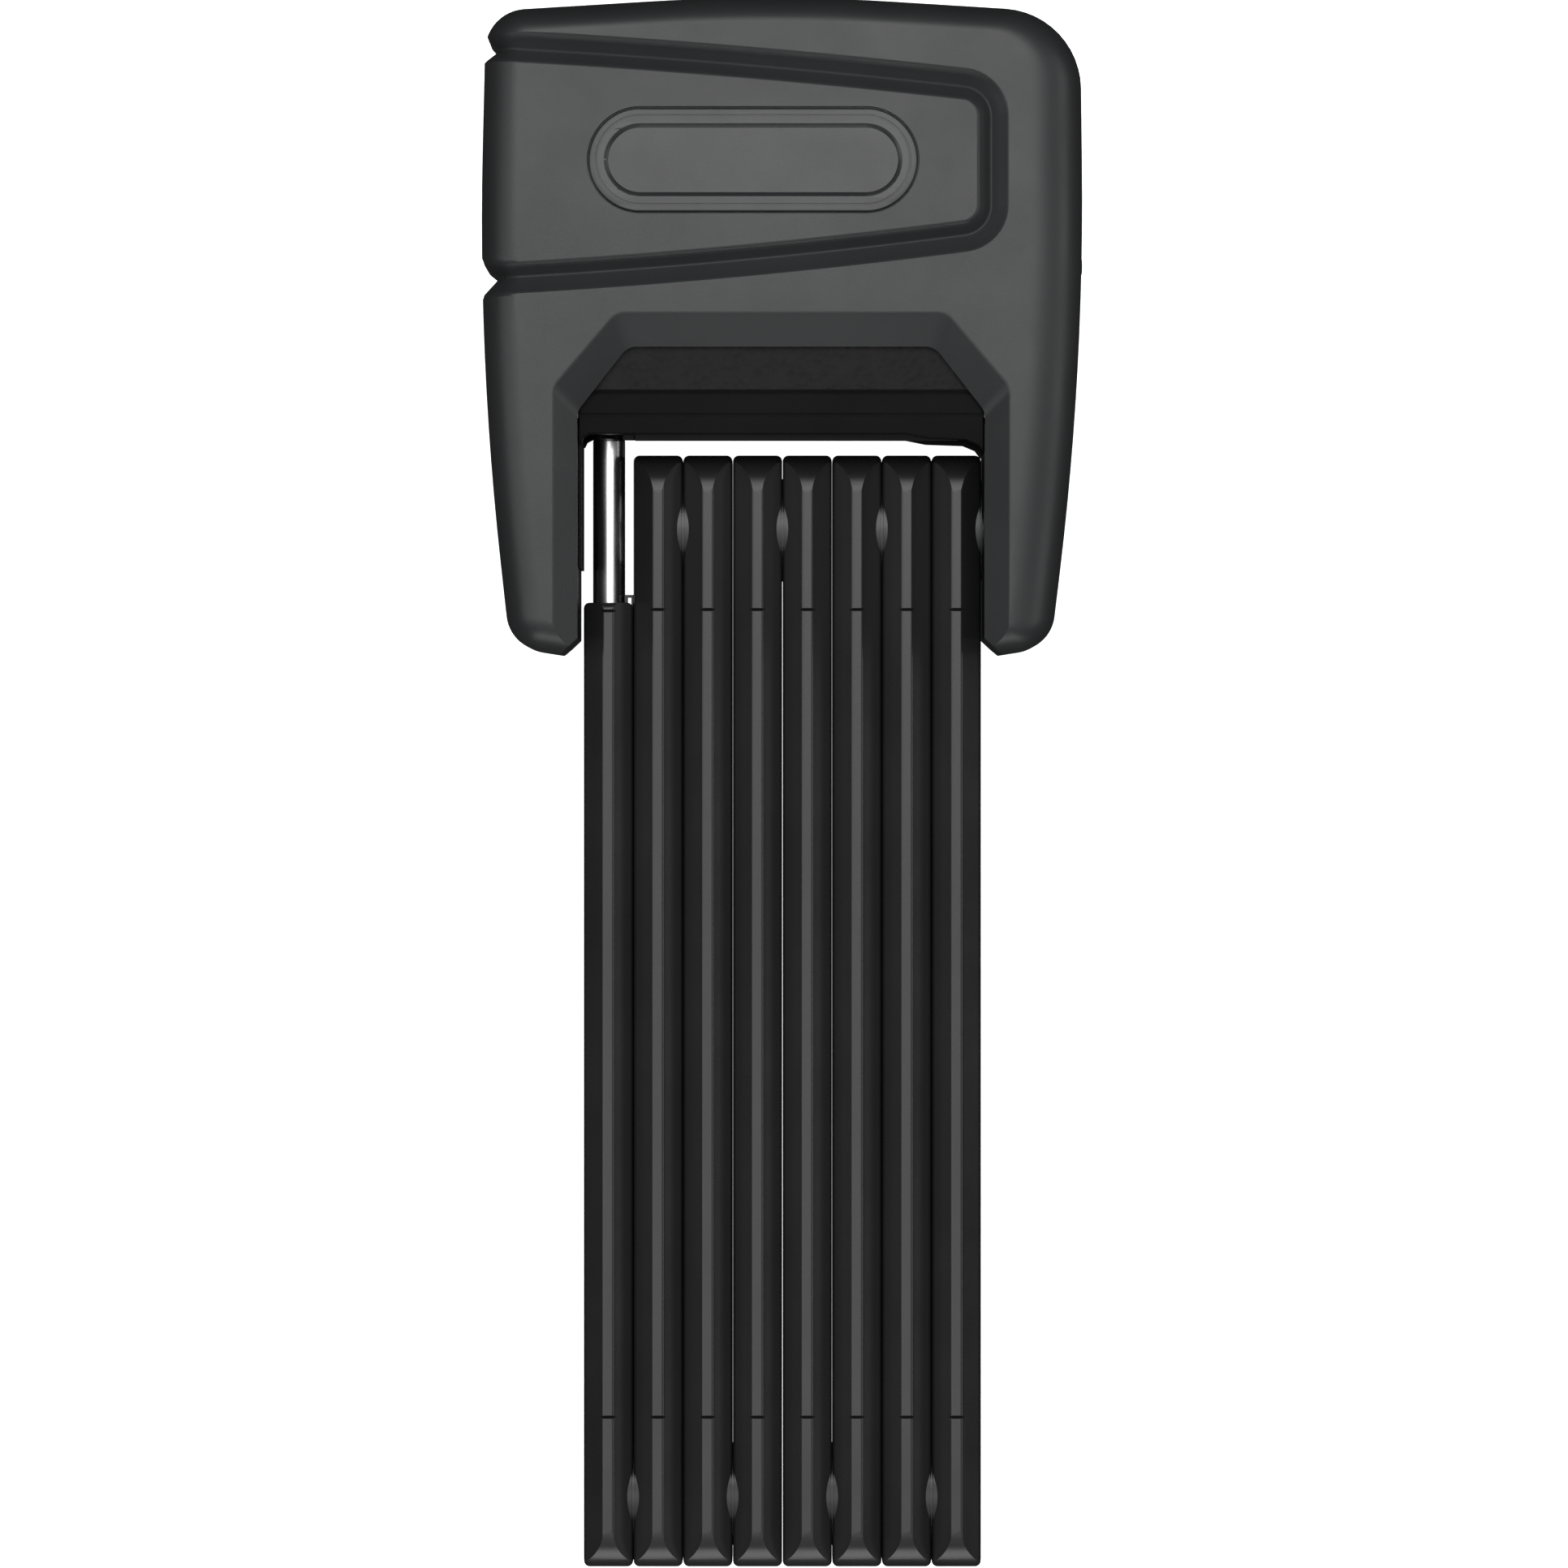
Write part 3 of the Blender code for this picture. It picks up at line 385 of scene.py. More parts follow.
def rod(name, radius, start, end, sides=48):
    """A round rod between two points."""
    start, end = Vector(start), Vector(end)
    bm = bmesh.new()
    bmesh.ops.create_cone(
        bm, cap_ends=True, segments=sides, radius1=radius, radius2=radius, depth=(end - start).length
    )
    turn = (end - start).to_track_quat("Z", "Y").to_matrix().to_4x4()
    bmesh.ops.transform(bm, matrix=Matrix.Translation((start + end) / 2) @ turn, verts=bm.verts)
    return add(name, mesh_of(name, bm))


def plate(name, outline, low, high, edge=0.0, turn=None, edge_steps=2):
    """A flat outline made solid between two heights, with its edges rounded by edge."""
    curve = bpy.data.curves.new(name, "CURVE")
    curve.dimensions = "2D"
    curve.fill_mode = "BOTH"
    curve.extrude = (high - low) / 2 - edge
    curve.bevel_depth = edge
    curve.bevel_resolution = edge_steps
    curve.offset = -edge
    spline = curve.splines.new("POLY")
    spline.points.add(len(outline) - 1)
    for point, (x, y) in zip(spline.points, outline):
        point.co = (x, y, 0, 1)
    spline.use_cyclic_u = True
    drawn = add(name + "_curve", curve)
    mesh = baked(drawn)
    bpy.data.objects.remove(drawn)
    bm = bmesh.new()
    bm.from_mesh(mesh)
    bmesh.ops.remove_doubles(bm, verts=bm.verts, dist=0.002 * MM)
    bmesh.ops.translate(bm, vec=(0, 0, (low + high) / 2), verts=bm.verts)
    if turn:
        bmesh.ops.transform(bm, matrix=turn, verts=bm.verts)
    return add(name, mesh_of(name, bm))


def turned(name, profile, start, along, sides=64):
    """A solid of revolution from (radius, distance along the axis from start) points."""
    bm = bmesh.new()
    for radius, height in profile:
        bm.verts.new((radius, 0, height))
    bm.verts.ensure_lookup_table()
    for i in range(len(profile) - 1):
        bm.edges.new((bm.verts[i], bm.verts[i + 1]))
    bmesh.ops.spin(
        bm,
        geom=bm.verts[:] + bm.edges[:],
        cent=(0, 0, 0),
        axis=(0, 0, 1),
        angle=math.tau,
        steps=sides,
    )
    bmesh.ops.remove_doubles(bm, verts=bm.verts, dist=0.001 * MM)
    turn = Vector(along).to_track_quat("Z", "Y").to_matrix().to_4x4()
    bmesh.ops.transform(bm, matrix=Matrix.Translation(Vector(start)) @ turn, verts=bm.verts)
    return add(name, mesh_of(name, bm))


def loft(name, rings):
    """A closed solid through rings of equal length, capped at both ends."""
    bm = bmesh.new()
    rows = [[bm.verts.new(point) for point in ring] for ring in rings]
    for row, following in zip(rows, rows[1:]):
        for i in range(len(row)):
            j = (i + 1) % len(row)
            bm.faces.new((row[i], row[j], following[j], following[i]))
    bm.faces.new(rows[0])
    bm.faces.new(rows[-1])
    return add(name, mesh_of(name, bm))


def baked(obj):
    """The object's mesh with its modifiers applied."""
    bpy.context.view_layer.update()
    return bpy.data.meshes.new_from_object(obj.evaluated_get(bpy.context.evaluated_depsgraph_get()))


def combine(obj, operation, *others):
    """Apply a Boolean with each of the other objects, which are used up."""
    for other in others:
        change = obj.modifiers.new("combine", "BOOLEAN")
        change.operation = operation
        change.solver = "EXACT"
        change.object = other
        mesh = baked(obj)
        obj.modifiers.clear()
        obj.data = mesh
        bpy.data.objects.remove(other)
    return obj


def cut(obj, *cutters):
    """Take each cutter out of the object."""
    return combine(obj, "DIFFERENCE", *cutters)


def join(obj, *pieces):
    """Make the pieces one with the object."""
    return combine(obj, "UNION", *pieces)


def block(half_x, low_y, high_y, radius):
    """The four (x, y, radius) corners of a rectangle centred on x = 0."""
    sides = ((-half_x, low_y), (half_x, low_y), (half_x, high_y), (-half_x, high_y))
    return [(x, y, radius) for x, y in sides]


def rounded(corners, inset=0.0, steps=12):
    """An outline through (x, y, radius) corners, inset from its edges, with each corner an arc.

    A fourth value scales the inset of the edge that leaves the corner."""
    least_radius = 0.8 * MM
    count = len(corners)
    points = [Vector(corner[:2]) for corner in corners]
    area = sum(points[i - 1].cross(points[i]) for i in range(count))
    insets = [inset * (corner[3] if len(corner) > 3 else 1.0) for corner in corners]
    lines = []
    for i in range(count):
        along = (points[(i + 1) % count] - points[i]).normalized()
        inward = Vector((-along.y, along.x)) * math.copysign(1, area)
        lines.append((points[i] + inward * insets[i], along))
    outline = []
    for i in range(count):
        (here, along_in), (there, along_out) = lines[i - 1], lines[i]
        reach = (there - here).cross(along_out) / along_in.cross(along_out)
        corner = here + along_in * reach
        turn = abs(along_in.angle_signed(along_out))
        least = min(corners[i][2], least_radius)
        radius = max(corners[i][2] - (insets[i - 1] + insets[i]) / 2, least)
        side = math.copysign(1, along_in.cross(along_out))
        start = corner - along_in * radius * math.tan(turn / 2)
        centre = start + Vector((-along_in.y, along_in.x)) * side * radius
        for step in range(steps + 1 if radius > 0 else 1):
            angle = side * turn * step / steps
            outline.append(centre + Matrix.Rotation(angle, 2) @ (start - centre))
    return outline


def in_plane(outline, z):
    """A flat outline lifted to a height."""
    return [Vector((point.x, point.y, z)) for point in outline]


def show(obj, body, finish, nodes=(), smooth=35.0):
    """Finish a piece: smooth shading, its material, the body it rides on and what it replaces."""
    obj.data.shade_smooth()
    obj.data.set_sharp_from_angle(angle=math.radians(smooth))
    weighted = obj.modifiers.new("flat faces stay flat", "WEIGHTED_NORMAL")
    weighted.keep_sharp = True
    weighted.weight = 100
    obj.data.materials.clear()
    obj.data.materials.append(FINISH[finish])
    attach(obj, body)
    if nodes:
        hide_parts(*nodes)
    return obj


# ---------------------------------------------------------------- camera, floor and lights


def make_camera():
    """Straight down on the front, far away, as a long lens sees it."""
    data = bpy.data.cameras.new("camera")
    data.sensor_width = SENSOR
    data.lens = LENS
    data.clip_end = 10
    camera = bpy.data.objects.new("camera", data)
    bpy.context.scene.collection.objects.link(camera)
    camera.location = (CAMERA_X, 0, PLANE_SEEN + WIDTH_SEEN * LENS / SENSOR)
    bpy.context.scene.camera = camera


def make_floor():
    """A glowing white table top, which doesn't light the lock or show in its gloss."""
    floor = box("floor", (-3, 3), (-3, 3), (-0.02, -0.0002))
    m = Nodes("floor_paper")
    m.colours(m.noise(6.0), grey(0.93), grey(0.95))
    m.link(m.ramp(m.noise(60.0), 0.65, 0.8), m.shader.inputs["Roughness"])
    m.shader.inputs["Emission Color"].default_value = (1, 1, 1, 1)
    m.shader.inputs["Emission Strength"].default_value = 1.0
    floor.data.materials.append(m.made)
    floor.visible_glossy = False
    floor.visible_diffuse = False


def make_room():
    """A dark room with a soft bright ceiling."""
    world = bpy.data.worlds.new("studio")
    world.use_nodes = True
    tree = world.node_tree
    way = tree.nodes.new("ShaderNodeTexCoord").outputs["Generated"]
    parts = tree.nodes.new("ShaderNodeSeparateXYZ")
    tree.links.new(way, parts.inputs["Vector"])
    rise = tree.nodes.new("ShaderNodeValToRGB")
    stops = rise.color_ramp.elements
    stops[0].position = CEILING[0][0]
    stops[1].position = CEILING[-1][0]
    for height, _ in CEILING[1:-1]:
        stops.new(height)
    for stop, (_, bright) in zip(stops, CEILING):
        stop.color = (*grey(bright), 1)
    tree.links.new(parts.outputs["Z"], rise.inputs["Fac"])
    tree.links.new(rise.outputs["Color"], tree.nodes["Background"].inputs["Color"])
    bpy.context.scene.world = world


def softbox(name, place, target, size, radiance):
    """A rectangular light of the given brightness, aimed at target."""
    data = bpy.data.lights.new(name, "AREA")
    data.shape = "RECTANGLE"
    data.size, data.size_y = size
    data.energy = radiance * math.pi * size[0] * size[1]
    light = bpy.data.objects.new(name, data)
    light.location = place
    light.rotation_euler = (Vector(target) - Vector(place)).to_track_quat("-Z", "Y").to_euler()
    bpy.context.scene.collection.objects.link(light)


def make_stage():
    """The floor, the room and the softboxes."""
    bpy.context.scene.view_settings.view_transform = "Standard"
    make_floor()
    make_room()
    for name, settings in SOFTBOXES.items():
        softbox(name, *settings)


# ---------------------------------------------------------------- bars


def slab(name, half_width, half_thick, top=None, edge=0.0, steps=10, edge_steps=2):
    """A bar blank centred between its hinge axes, with rounded ends or squared at top."""
    inset = HALF_WIDTH - half_width
    foot, corner = -HALF_PITCH - half_width, END_CORNER - inset
    head = HALF_PITCH + TOP_REACH - inset if top is None else top
    head_corner = corner if top is None else SQUARE_CORNER
    corners = [
        (-half_width, foot, corner),
        (half_width, foot, corner),
        (half_width, head, head_corner),
        (-half_width, head, head_corner),
    ]
    outline = rounded(corners, steps=steps)
    return plate(name, outline, -half_thick, half_thick, edge, ACROSS_X, edge_steps)


def shoulders(name):
    """A long prism whose section has the bar's soft-edged crests and sloping shoulders."""
    drop = HALF_WIDTH - (HALF_THICK - HALF_CREST)
    corners = []
    for right, up in ((1, -1), (1, 1), (-1, 1), (-1, -1)):
        crest = (right * HALF_CREST, up * HALF_WIDTH, CREST_ROUND)
        flat = (right * HALF_THICK, up * drop, FLAT_ROUND)
        corners += [crest, flat] if right * up < 0 else [flat, crest]
    return plate(name, rounded(corners, steps=6), -2 * HALF_PITCH, 2 * HALF_PITCH, turn=ALONG_Y)


def crest_notch(y, face):
    """A cutter for the fine V across the front (face 1) or rear (face -1) crest at height y."""
    rings = []
    for x in (-2 * MM, 2 * MM):
        ring = [Vector((x, y, face * (HALF_WIDTH - NOTCH_DEPTH)))]
        for side in (1, -1):
            ring.append(Vector((x, y + side * NOTCH_DEPTH, face * (HALF_WIDTH + NOTCH_DEPTH))))
        rings.append(ring)
    return loft("notch", rings)


def open_top(made, top):
    """Cut the mouth for the bolt's tang into bar 1's coating, and add the small clip beside it."""
    deep = (top - 3 * MM, top + MM)
    cut(made, box("mouth", (-2.8 * MM, 2.8 * MM), deep, (-4.6 * MM, 4.6 * MM)))
    # The clip's outline in millimetres, from the middle of the squared top
    lug = [(2.6, -3.0), (3.4, -3.0), (3.85, -1.6), (3.85, 1.3), (2.4, 1.3), (2.4, -2.0)]
    outline = [(x * MM, top + y * MM) for x, y in lug]
    clip = plate("clip", outline, -3 * MM, 3 * MM, 0.1 * MM)
    slot = (top - 1.1 * MM, top + 0.95 * MM)
    cut(clip, box("clip_hole", (2.9 * MM, 3.5 * MM), slot, (-5 * MM, 5 * MM)))
    join(made, clip)


def jacket(name, hinges, top=None):
    """A bar's hollow coating: hinges lists each hinge as (its end, its side), +1 or -1."""
    blank = slab(name, HALF_WIDTH, HALF_THICK, top, BLANK_EDGE, steps=16, edge_steps=7)
    made = combine(blank, "INTERSECT", shoulders("sides"))
    for end, side in hinges:
        y = end * HALF_PITCH
        pad = (side * MM, y, 0), (side * PAD_FACE, y, 0)
        join(made, rod("pad", PAD_RADIUS, *pad, sides=PAD_SIDES))
        seat = (side * SEAT_FLOOR, y, 0), (side * (HALF_THICK + MM), y, 0)
        cut(made, rod("seat", SEAT_RADIUS, *seat, sides=PAD_SIDES))
        cut(made, rod("hole", HEAD_HOLE, (-5 * MM, y, 0), (5 * MM, y, 0)))
    upper_notch = HALF_PITCH - NOTCH_FROM_AXIS if top is None else top - 1.3 * MM
    for y in (-HALF_PITCH + NOTCH_FROM_AXIS, upper_notch):
        for face in (1, -1):
            cut(made, crest_notch(y, face))
    hollow_top = None if top is None else top - 1.5 * MM
    cut(made, slab("hollow", CORE_HALF_WIDTH + CORE_GAP, CORE_HALF_THICK + CORE_GAP, hollow_top))
    if top is not None:
        open_top(made, top)
    return made


def make_bars():
    """The eight coatings, each riding on its own bar, with the rivets and washers between them."""
    for k in range(1, BARS + 1):
        name = f"bar_{k}_coating"
        if k == 1:
            made = jacket(name, [(-1, 1)], FIRST_BAR_TOP - BAR_MIDDLE)
        elif k % 2 == 0:
            made = jacket(name, [(1, 1), (-1, -1)])
        else:
            made = jacket(name, [(1, -1), (-1, 1)])
        made.data.transform(Matrix.Translation((BAR_X[k], BAR_MIDDLE, MID)))
        show(made, f"bar_{k}", "coating", [f"bar_{k}_jacket"], smooth=14.0)
        make_rivet(k)
        make_washer(k)


def carrier_of(k):
    """The body that carries bar k, which its rivet and washer ride on."""
    return "lock_body" if k == BARS else f"bar_{k + 1}"


def make_rivet(k):
    """One hinge's rivet: a shank between two heads with a shallow dimple."""
    low, high = corners_of(f"hinge_rivet_{k}")
    y, length = (low.y + high.y) / 2, high.x - low.x
    edge, dimple = 0.25 * MM, 0.12 * MM
    half = [
        (0, dimple),
        (RIVET_HEAD * 0.35, dimple),
        (RIVET_HEAD * 0.42, 0),
        (RIVET_HEAD - edge, 0),
        (RIVET_HEAD - edge * 0.3, edge * 0.3),
        (RIVET_HEAD, edge),
        (RIVET_HEAD, RIVET_HEAD_THICK),
        (RIVET_SHANK, RIVET_HEAD_THICK),
    ]
    profile = half + [(radius, length - height) for radius, height in reversed(half)]
    rivet = turned(f"rivet_{k}", profile, (low.x, y, MID), (1, 0, 0))
    show(rivet, carrier_of(k), "steel", [f"hinge_rivet_{k}"])


def make_washer(k):
    """One hinge's thin washer, with softened rims."""
    low, high = corners_of(f"hinge_washer_{k}")
    y, thick = JOINTS[f"hinge_{k}"]["pos_m"][1], high.x - low.x
    rim = 0.12 * MM
    ring = [
        (RIVET_HOLE, 0),
        (WASHER_RADIUS - rim, 0),
        (WASHER_RADIUS, rim),
        (WASHER_RADIUS, thick - rim),
        (WASHER_RADIUS - rim, thick),
        (RIVET_HOLE, thick),
        (RIVET_HOLE, 0),
    ]
    washer = turned(f"washer_{k}", ring, (low.x, y, MID), (1, 0, 0))
    show(washer, carrier_of(k), "washer", [f"hinge_washer_{k}"])


def make_bolt():
    """The chromed bolt with its rounded tip, its notch and the flat tang in bar 1."""
    low, high = corners_of("locking_bolt")
    x = (low.x + high.x) / 2
    foot = FIRST_BAR_TOP - BOLT_SUNK
    length = high.y - foot
    tip = [(BOLT_RADIUS - inset * MM, length - back * MM) for inset, back in BOLT_TIP]
    profile = [(0, 0), (BOLT_RADIUS, 0), *tip, (0, length)]
    bolt = turned("chrome_bolt", profile, (x, foot, MID), (0, 1, 0), sides=96)
    pin_y = centre_of("bolt_pin").y
    tang = (pin_y - 4.5 * MM, foot + 0.5 * MM)
    join(bolt, box("tang", (x - MM, x + MM), tang, (MID - 4 * MM, MID + 4 * MM)))
    cut(bolt, rod("tang_hole", 1.7 * MM, (x - 2 * MM, pin_y, MID), (x + 2 * MM, pin_y, MID)))
    across, deep = (x - 3 * MM, x + 3 * MM), (MID - 4 * MM, MID - 1.2 * MM)
    cut(bolt, box("bolt_notch", across, (BOLT_NOTCH, BOLT_NOTCH + BOLT_NOTCH_HEIGHT), deep))
    show(bolt, "bar_1", "chrome", ["locking_bolt"])


# ---------------------------------------------------------------- lock body


def half_shell(name, facing):
    """One moulded half of the body, solid: facing is +1 for the front half, -1 for the rear half."""
    seam_round, arcs = 0.2 * MM, 14

    def height(z):
        return z if facing > 0 else DEPTH - z

    rings = [in_plane(rounded(SILHOUETTE, seam_round), height(MID + SEAM))]
    rings.append(in_plane(rounded(SILHOUETTE), height(MID + SEAM + seam_round)))
    for step in range(arcs + 1):
        angle = math.pi / 2 * step / arcs
        inset = ROLL * (1 - math.cos(angle))
        z = DEPTH - ROLL * (1 - math.sin(angle))
        rings.append(in_plane(rounded(SILHOUETTE, inset), height(z)))
    return loft(name, rings)


def cavity():
    """The space inside the shells: the head, and a hollow down each leg."""
    side, leg = HEAD_HALF - WALL, LEG_HALF - WALL
    foot, roof = 24 * MM, 55.5 * MM
    corners = [
        (BAY_LEFT - LEG_WALL, foot, MM),
        (BAY_LEFT - LEG_WALL, roof, MM),
        (BAY_RIGHT + LEG_WALL, roof, MM),
        (BAY_RIGHT + LEG_WALL, foot, MM),
        (BODY_X + leg, foot, 2 * MM),
        (BODY_X + side, 74 * MM, 100 * MM),
        (BODY_X + side, HEAD_TOP - WALL, 9 * MM),
        (BODY_X - side, HEAD_TOP - WALL, 4 * MM),
        (BODY_X - side, 78 * MM, 100 * MM),
        (BODY_X - leg, foot, 2 * MM),
    ]
    return plate("cavity", rounded(corners, steps=4), WALL, DEPTH - WALL)


def bay():
    """The gap between the legs, flared at the leg tips."""
    flare = 5 * MM
    outline = [
        (BAY_LEFT, BAY_TOP),
        (BAY_LEFT, LEG_TIP + 2.4 * MM),
        (BAY_LEFT - flare, LEG_TIP - 2.2 * MM),
        (BAY_RIGHT + flare, LEG_TIP - 2.2 * MM),
        (BAY_RIGHT, LEG_TIP + 2.4 * MM),
        (BAY_RIGHT, BAY_TOP),
    ]
    return plate("bay", outline, -MM, DEPTH + MM)


def arch(facing):
    """The window over the bar ends: a wide sloping rim with a soft lip at the face."""
    # Each outline's left, right, shoulder height, top and canted corner
    inner = (BAY_LEFT - 0.03 * MM, BAY_RIGHT + 0.03 * MM, 57.4 * MM, 67.4 * MM, 7.8 * MM)
    outer = (BAY_LEFT - 3.5 * MM, BAY_RIGHT + 3.6 * MM, 60.9 * MM, 72.2 * MM, 9.6 * MM)
    # How far each level has gone from inner to outer, and its depth under the face
    lip = 0.5 * MM
    levels = [(0.0, WALL + MM), (0.0, WALL - 0.2 * MM), (1.0, lip * 0.35)]
    levels += [(1.0 + 0.06, lip * 0.1), (1.0 + 0.16, -0.03 * MM), (1.0 + 0.7, -0.4 * MM)]
    foot, soft = 10 * MM, 3 * MM
    rings = []
    for blend, depth in levels:
        left, right, shoulder, top, cant = (a + (b - a) * blend for a, b in zip(inner, outer))
        z = DEPTH - depth if facing > 0 else depth
        corners = [
            (left, foot, 0),
            (right, foot, 0),
            (right, shoulder, soft),
            (right - cant, top, soft),
            (left + cant, top, soft),
            (left, shoulder, soft),
        ]
        rings.append(in_plane(rounded(corners, steps=8), z))
    return loft("arch", rings)


def groove_top(x):
    """Height of the groove's valley above the panel, which falls away to the right."""
    run = x + 40.3 * MM
    return 113.1 * MM - 0.055 * run - 0.42 * run * run


def groove_bottom(x):
    """Height of the groove's valley below the panel, which rises to the right."""
    run = x + 42 * MM
    return 78.1 * MM + 0.055 * run + 0.53 * run * run


def over_the_side():
    """Points and normals from the front face over the left side, a little past the seam."""
    roll_x = ROLL * 0.8
    edge = []
    for degrees in range(0, 91, 9):
        t = math.radians(degrees)
        x, z = PANEL_LEFT + roll_x * (1 - math.sin(t)), DEPTH - ROLL * (1 - math.cos(t))
        normal = Vector((-math.sin(t) / roll_x, 0, math.cos(t) / ROLL)).normalized()
        edge.append((Vector((x, 0, z)), normal))
    for z in (MID + 5 * MM, MID - 2 * MM):
        edge.append((Vector((PANEL_LEFT, 0, z)), Vector((-1, 0, 0))))
    return edge


def groove_route():
    """Points along the valley from the left side, round the panel and back, each with its normal."""
    up = Vector((0, 0, 1))
    level_from = -42 * MM
    steps = 26

    def on_edge(height_at):
        return [(p + Vector((0, height_at(max(p.x, level_from)), 0)), n) for p, n in over_the_side()]

    start = PANEL_LEFT + ROLL * 0.8
    reach = PANEL_RIGHT - 5 * MM - start
    xs = [start + reach * i / steps for i in range(1, steps + 1)]
    last = xs[-1]
    bend = rounded(
        [
            (last, groove_top(last), 0),
            (PANEL_RIGHT, groove_top(PANEL_RIGHT), PANEL_CORNER),
            (PANEL_RIGHT, groove_bottom(PANEL_RIGHT), PANEL_CORNER),
            (last, groove_bottom(last), 0),
        ],
        steps=10,
    )[1:-1]
    route = list(reversed(on_edge(groove_top)))
    route += [(Vector((x, groove_top(x), DEPTH)), up) for x in xs]
    route += [(Vector((p.x, p.y, DEPTH)), up) for p in bend]
    route += [(Vector((x, groove_bottom(x), DEPTH)), up) for x in reversed(xs)]
    return route + on_edge(groove_bottom)


def groove(facing):
    """The V-groove round the tapered panel, which wraps over the left side."""
    route = groove_route()
    rings = []
    for i, (point, normal) in enumerate(route):
        before = route[max(i - 1, 0)][0]
        after = route[min(i + 1, len(route) - 1)][0]
        outside = normal.cross(after - before).normalized()
        ring = [point + outside * (-x * MM) - normal * (d * MM) for x, d in GROOVE_SECTION]
        if facing < 0:
            ring = [Vector((p.x, p.y, DEPTH - p.z)) for p in ring]
        rings.append(ring)
    return loft("groove", rings)


def track():
    """The shallow track that the keyhole cover slides in, with round corners."""
    foot, head = CYLINDER_Y - TRACK_REACH - COVER_TRAVEL, CYLINDER_Y + TRACK_REACH
    lying = Matrix.Translation((0, 0, MID)) @ ACROSS_X
    outline = rounded(block(TRACK_HALF_WIDE, foot, head, TRACK_CORNER))
    return plate("track", outline, TRACK_FLOOR, TRACK_FLOOR + 6 * MM, turn=lying)


def add_screw_posts(shell, facing):
    """The posts inside a shell for the cover screws, with their bores and, behind, their sinks."""
    if facing > 0:
        low, high = MID + SEAM, DEPTH - WALL + MM
    else:
        low, high = WALL - MM, MID - SEAM
    for node in SCREW_NODES:
        at = centre_of(node)
        join(shell, rod("post", POST_RADIUS, (at.x, at.y, low), (at.x, at.y, high)))
        cut(shell, rod("bore", SCREW_BORE, (at.x, at.y, -MM), (at.x, at.y, MID + 10 * MM)))
        if facing < 0:
            cut(shell, rod("sink", SCREW_SINK, (at.x, at.y, -MM), (at.x, at.y, 2.2 * MM)))


def make_covers():
    """The front and rear shells."""
    rivet_way = (BAY_RIGHT - MM, TOP_AXIS, MID), (BAY_RIGHT + 4 * MM, TOP_AXIS, MID)
    nose_way = (40 * MM, CYLINDER_Y, MID), (50 * MM, CYLINDER_Y, MID)
    for name, facing in (("front_cover", 1), ("rear_cover", -1)):
        shell = half_shell(name + "_shell", facing)
        cut(shell, groove(facing), cavity(), bay(), arch(facing))
        cut(shell, rod("hinge_hole", RIVET_HOLE, *rivet_way))
        cut(shell, rod("nose_hole", NOSE_HOLE, *nose_way), track())
        add_screw_posts(shell, facing)
        if facing > 0:
            cut(shell, badge_shape("badge_seat", 0.0, DEPTH - 1.4 * MM, DEPTH + MM, 0.0))
        show(shell, "lock_body", "body", [name])


def badge_outline(inset):
    """A long oval round the badge's place in the frame."""
    at = centre_of("badge_plate")
    corners = block(BADGE_HALF_LONG, at.y - BADGE_HALF_HIGH, at.y + BADGE_HALF_HIGH, BADGE_HALF_HIGH)
    return rounded([(at.x + x, y, radius) for x, y, radius in corners], inset, 24)


def badge_shape(name, inset, low, high, edge):
    """The badge's oval made solid."""
    return plate(name, badge_outline(inset), low, high, edge)


def make_badge():
    """A plain oval plate: a fine ring line, a rim with sloping sides and a blank sunken field."""
    face = DEPTH - 0.05 * MM
    badge = badge_shape("badge", 0.3 * MM, DEPTH - 1.1 * MM, face, 0.25 * MM)
    deep = face - 0.3 * MM
    ring = badge_shape("ring", 1.25 * MM, deep, face + MM, 0.0)
    cut(ring, badge_shape("ring_core", 1.6 * MM, deep - MM, face + 2 * MM, 0.0))
    field = [in_plane(badge_outline(inset), face - depth) for inset, depth in FIELD_LEVELS]
    cut(badge, ring, loft("field", field))
    show(badge, "lock_body", "badge", ["badge_plate"])


def liner_edge(low, left, right, top):
    """The liner seen from the front: its lower edge steps down at both ends."""
    steps_down = [
        (left, 1.2),
        (left + 0.5 * MM, 1.2),
        (left + 0.9 * MM, 0.4),
        (left + 1.7 * MM, 0),
        (19 * MM, 0),
        (22.5 * MM, 0.7),
        (28.3 * MM, 0.9),
        (30.2 * MM, 1.7),
        (right, 2.9),
    ]
    return [(left, top)] + [(x, low - drop * MM) for x, drop in steps_down] + [(right, top)]


